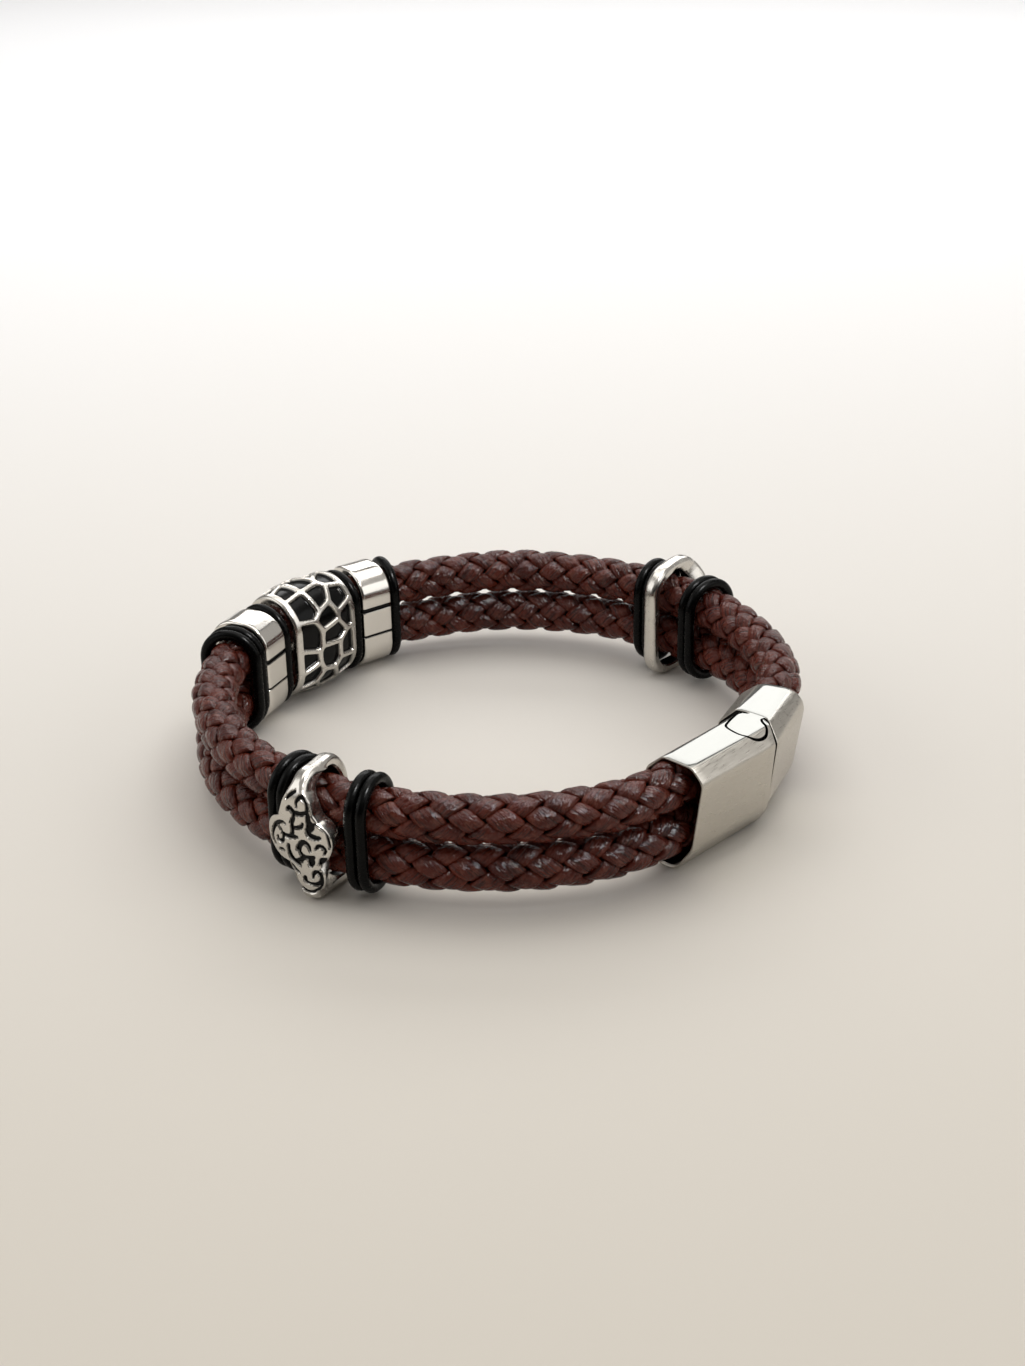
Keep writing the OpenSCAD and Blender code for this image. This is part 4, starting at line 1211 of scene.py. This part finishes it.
def backdrop():
    """Sheet whose profile is flat, then rises along a quarter circle, and then goes straight up: on the circle, along
    is the curve's start plus the radius times the sine of the turn, and up is the radius less the radius times its
    cosine. The paper is painted warmer and darker in front, as painted shade where the light falls off towards the
    camera."""
    turn = np.linspace(0.1, math.pi / 2, 12)
    flat = np.linspace(-FLOOR_HALF, CURVE_START, 20)
    y = np.concatenate([flat, CURVE_START + CURVE_R * np.sin(turn), [CURVE_START + CURVE_R]])
    z = np.concatenate([0 * flat, CURVE_R - CURVE_R * np.cos(turn), [3200]])
    x = np.linspace(-FLOOR_HALF, FLOOR_HALF, 9)
    c, s = math.cos(PHOTO_TURN), math.sin(PHOTO_TURN)
    X, Y = np.meshgrid(x, y)
    Z = np.repeat(z[:, None], len(x), 1)
    points = np.stack([X * c - Y * s, X * s + Y * c, Z], -1)
    piece = mesh_piece("floor_sweep", points, quads(len(y), len(x), wrap_m=False), {"back": Y})
    material, node, _ = start_material("pale_paper_sweep")
    # painted shade: the paper's colour darkens and warms towards the front, where the light falls off
    back = node("ShaderNodeAttribute", {}, "Fac", attribute_name="back")
    back = node("ShaderNodeMapRange", {"Value": back, "From Min": -120, "From Max": 300})
    tone = node("ShaderNodeMix", {"Factor": back, 6: srgb("D9D2C6"), 7: srgb("F3F3F4")}, 2, data_type="RGBA")
    piece.data.materials.append(finish_material(material, {"Base Color": tone, "Roughness": 0.8}))


backdrop()

# %% [markdown]
# ## Camera
# The photo was taken close by, from 26 degrees above the surface. The camera could be placed by eye, but then no
# crop would match. Its place, lens and small roll were fitted to the photo's clasp, beads and cords, and are used
# here as they came out.

# %% The photo's camera
# height of the view above the surface and roll in radians, distance and aim in mm in the photo's own axes
RISE, ROLL, DISTANCE = math.radians(26), math.radians(-1.054), 298.9
AIM = np.array([2.05, 22.41, 0])
# focal length over the height of the photo, both in the photo's pixels, and the height of the sensor in mm
FOCAL_SHARE = 2050 / 1366
SENSOR = 36


def camera():
    """Camera that looks from the aim point back along the view: its axes are right and up, turned by the roll, and
    the view itself."""
    view = np.array([0, math.cos(RISE), -math.sin(RISE)])
    right = np.array([1.0, 0, 0])
    up = np.array([0, math.sin(RISE), math.cos(RISE)])
    right, up = right * math.cos(ROLL) + up * math.sin(ROLL), -right * math.sin(ROLL) + up * math.cos(ROLL)
    matrix = np.eye(4)
    matrix[:3] = np.stack([right, up, -view, (AIM - DISTANCE * view) * MM], 1)
    data = bpy.data.cameras.new("photo_camera")
    data.sensor_fit = "VERTICAL"
    data.sensor_height = data.sensor_width = SENSOR
    data.lens = FOCAL_SHARE * SENSOR
    data.clip_start, data.clip_end = 0.01, 20
    item = bpy.data.objects.new("photo_camera", data)
    item.matrix_world = Matrix.Rotation(PHOTO_TURN, 4, "Z") @ Matrix(matrix.tolist())
    bpy.context.scene.collection.objects.link(item)
    bpy.context.scene.camera = item
    print("camera with a lens of", round(data.lens, 1), "mm")


camera()

# %% [markdown]
# ## Lights
# The photo's light is broad and soft, as from a large window above and behind: the tops are bright, the floor is
# nearly white far off, and the shadow under the bracelet has no edge. Large area lights give that. A small bright
# lamp is added for the glints on leather and steel. It is hidden from diffuse light, so it shows in reflections
# alone and casts no second shadow.


# %% The softboxes and the glint
def area_light(name, place, aim, size, power, colour="FFFFFF"):
    """Oblong area light. Place and aim are in mm in the photo's own axes; the light looks from one to the other."""
    data = bpy.data.lights.new(name, "AREA")
    data.shape = "RECTANGLE"
    data.size, data.size_y = size[0] * MM, size[1] * MM
    data.energy = power
    data.color = srgb(colour)[:3]
    light = bpy.data.objects.new(name, data)
    turn = Matrix.Rotation(PHOTO_TURN, 4, "Z")
    from_point = (turn @ Matrix.Translation([c * MM for c in place])).translation
    to_point = (turn @ Matrix.Translation([c * MM for c in aim])).translation
    look = (to_point - from_point).to_track_quat("-Z", "Y").to_matrix().to_4x4()
    light.matrix_world = Matrix.Translation(from_point) @ look
    bpy.context.scene.collection.objects.link(light)
    return light


# name, place, aim, size, power in watts and colour
area_light("top_softbox", (0, 160, 520), (0, 20, 0), (680, 460), 1.6, "FFFDFA")
area_light("left_softbox", (-520, -60, 260), (0, 0, 10), (420, 360), 0.55)
area_light("right_softbox", (480, -160, 240), (0, 0, 10), (340, 300), 0.35)
area_light("back_softbox", (60, 700, 420), (0, 300, 0), (900, 300), 2.7)
glint = area_light("glint_light", (170, -150, 400), (0, 0, 8), (60, 60), 2.4)
glint.visible_diffuse = False
print("lights:", len(bpy.data.lights))

# %% [markdown]
# ## Room
# Polished steel shows the room. In the photo it mirrors a bright room behind and above, and a dark one on the
# camera's side: that is what gives the steel its black streaks. An even grey world would make it look like plastic.
# The world's light therefore grows with a smooth step from the front to the back.

# %% The world
world = bpy.data.worlds.new("soft_room")
world.use_nodes = True
sky = world.node_tree
seen = add_node(sky, "ShaderNodeTexCoord", {}, "Generated")
# towards the bright side and up; the light grows between -0.8 and 0.1 along it, from a strength of 0.04 to 0.54
backwards = (-math.sin(PHOTO_TURN), math.cos(PHOTO_TURN), 0.6)
seen = add_node(sky, "ShaderNodeVectorMath", {0: seen, 1: backwards}, "Value", operation="DOT_PRODUCT")
seen = {"Value": seen, "From Min": -0.8, "From Max": 0.1, "To Min": 0.04, "To Max": 0.54}
seen = add_node(sky, "ShaderNodeMapRange", seen, interpolation_type="SMOOTHSTEP")
wire(sky, sky.nodes["Background"], {"Color": srgb("ECE9E5"), "Strength": seen})
scene = bpy.context.scene
scene.world = world
# plain sRGB, so that the colours above come out as they are given
scene.view_settings.view_transform = "Standard"
print("world:", world.name)
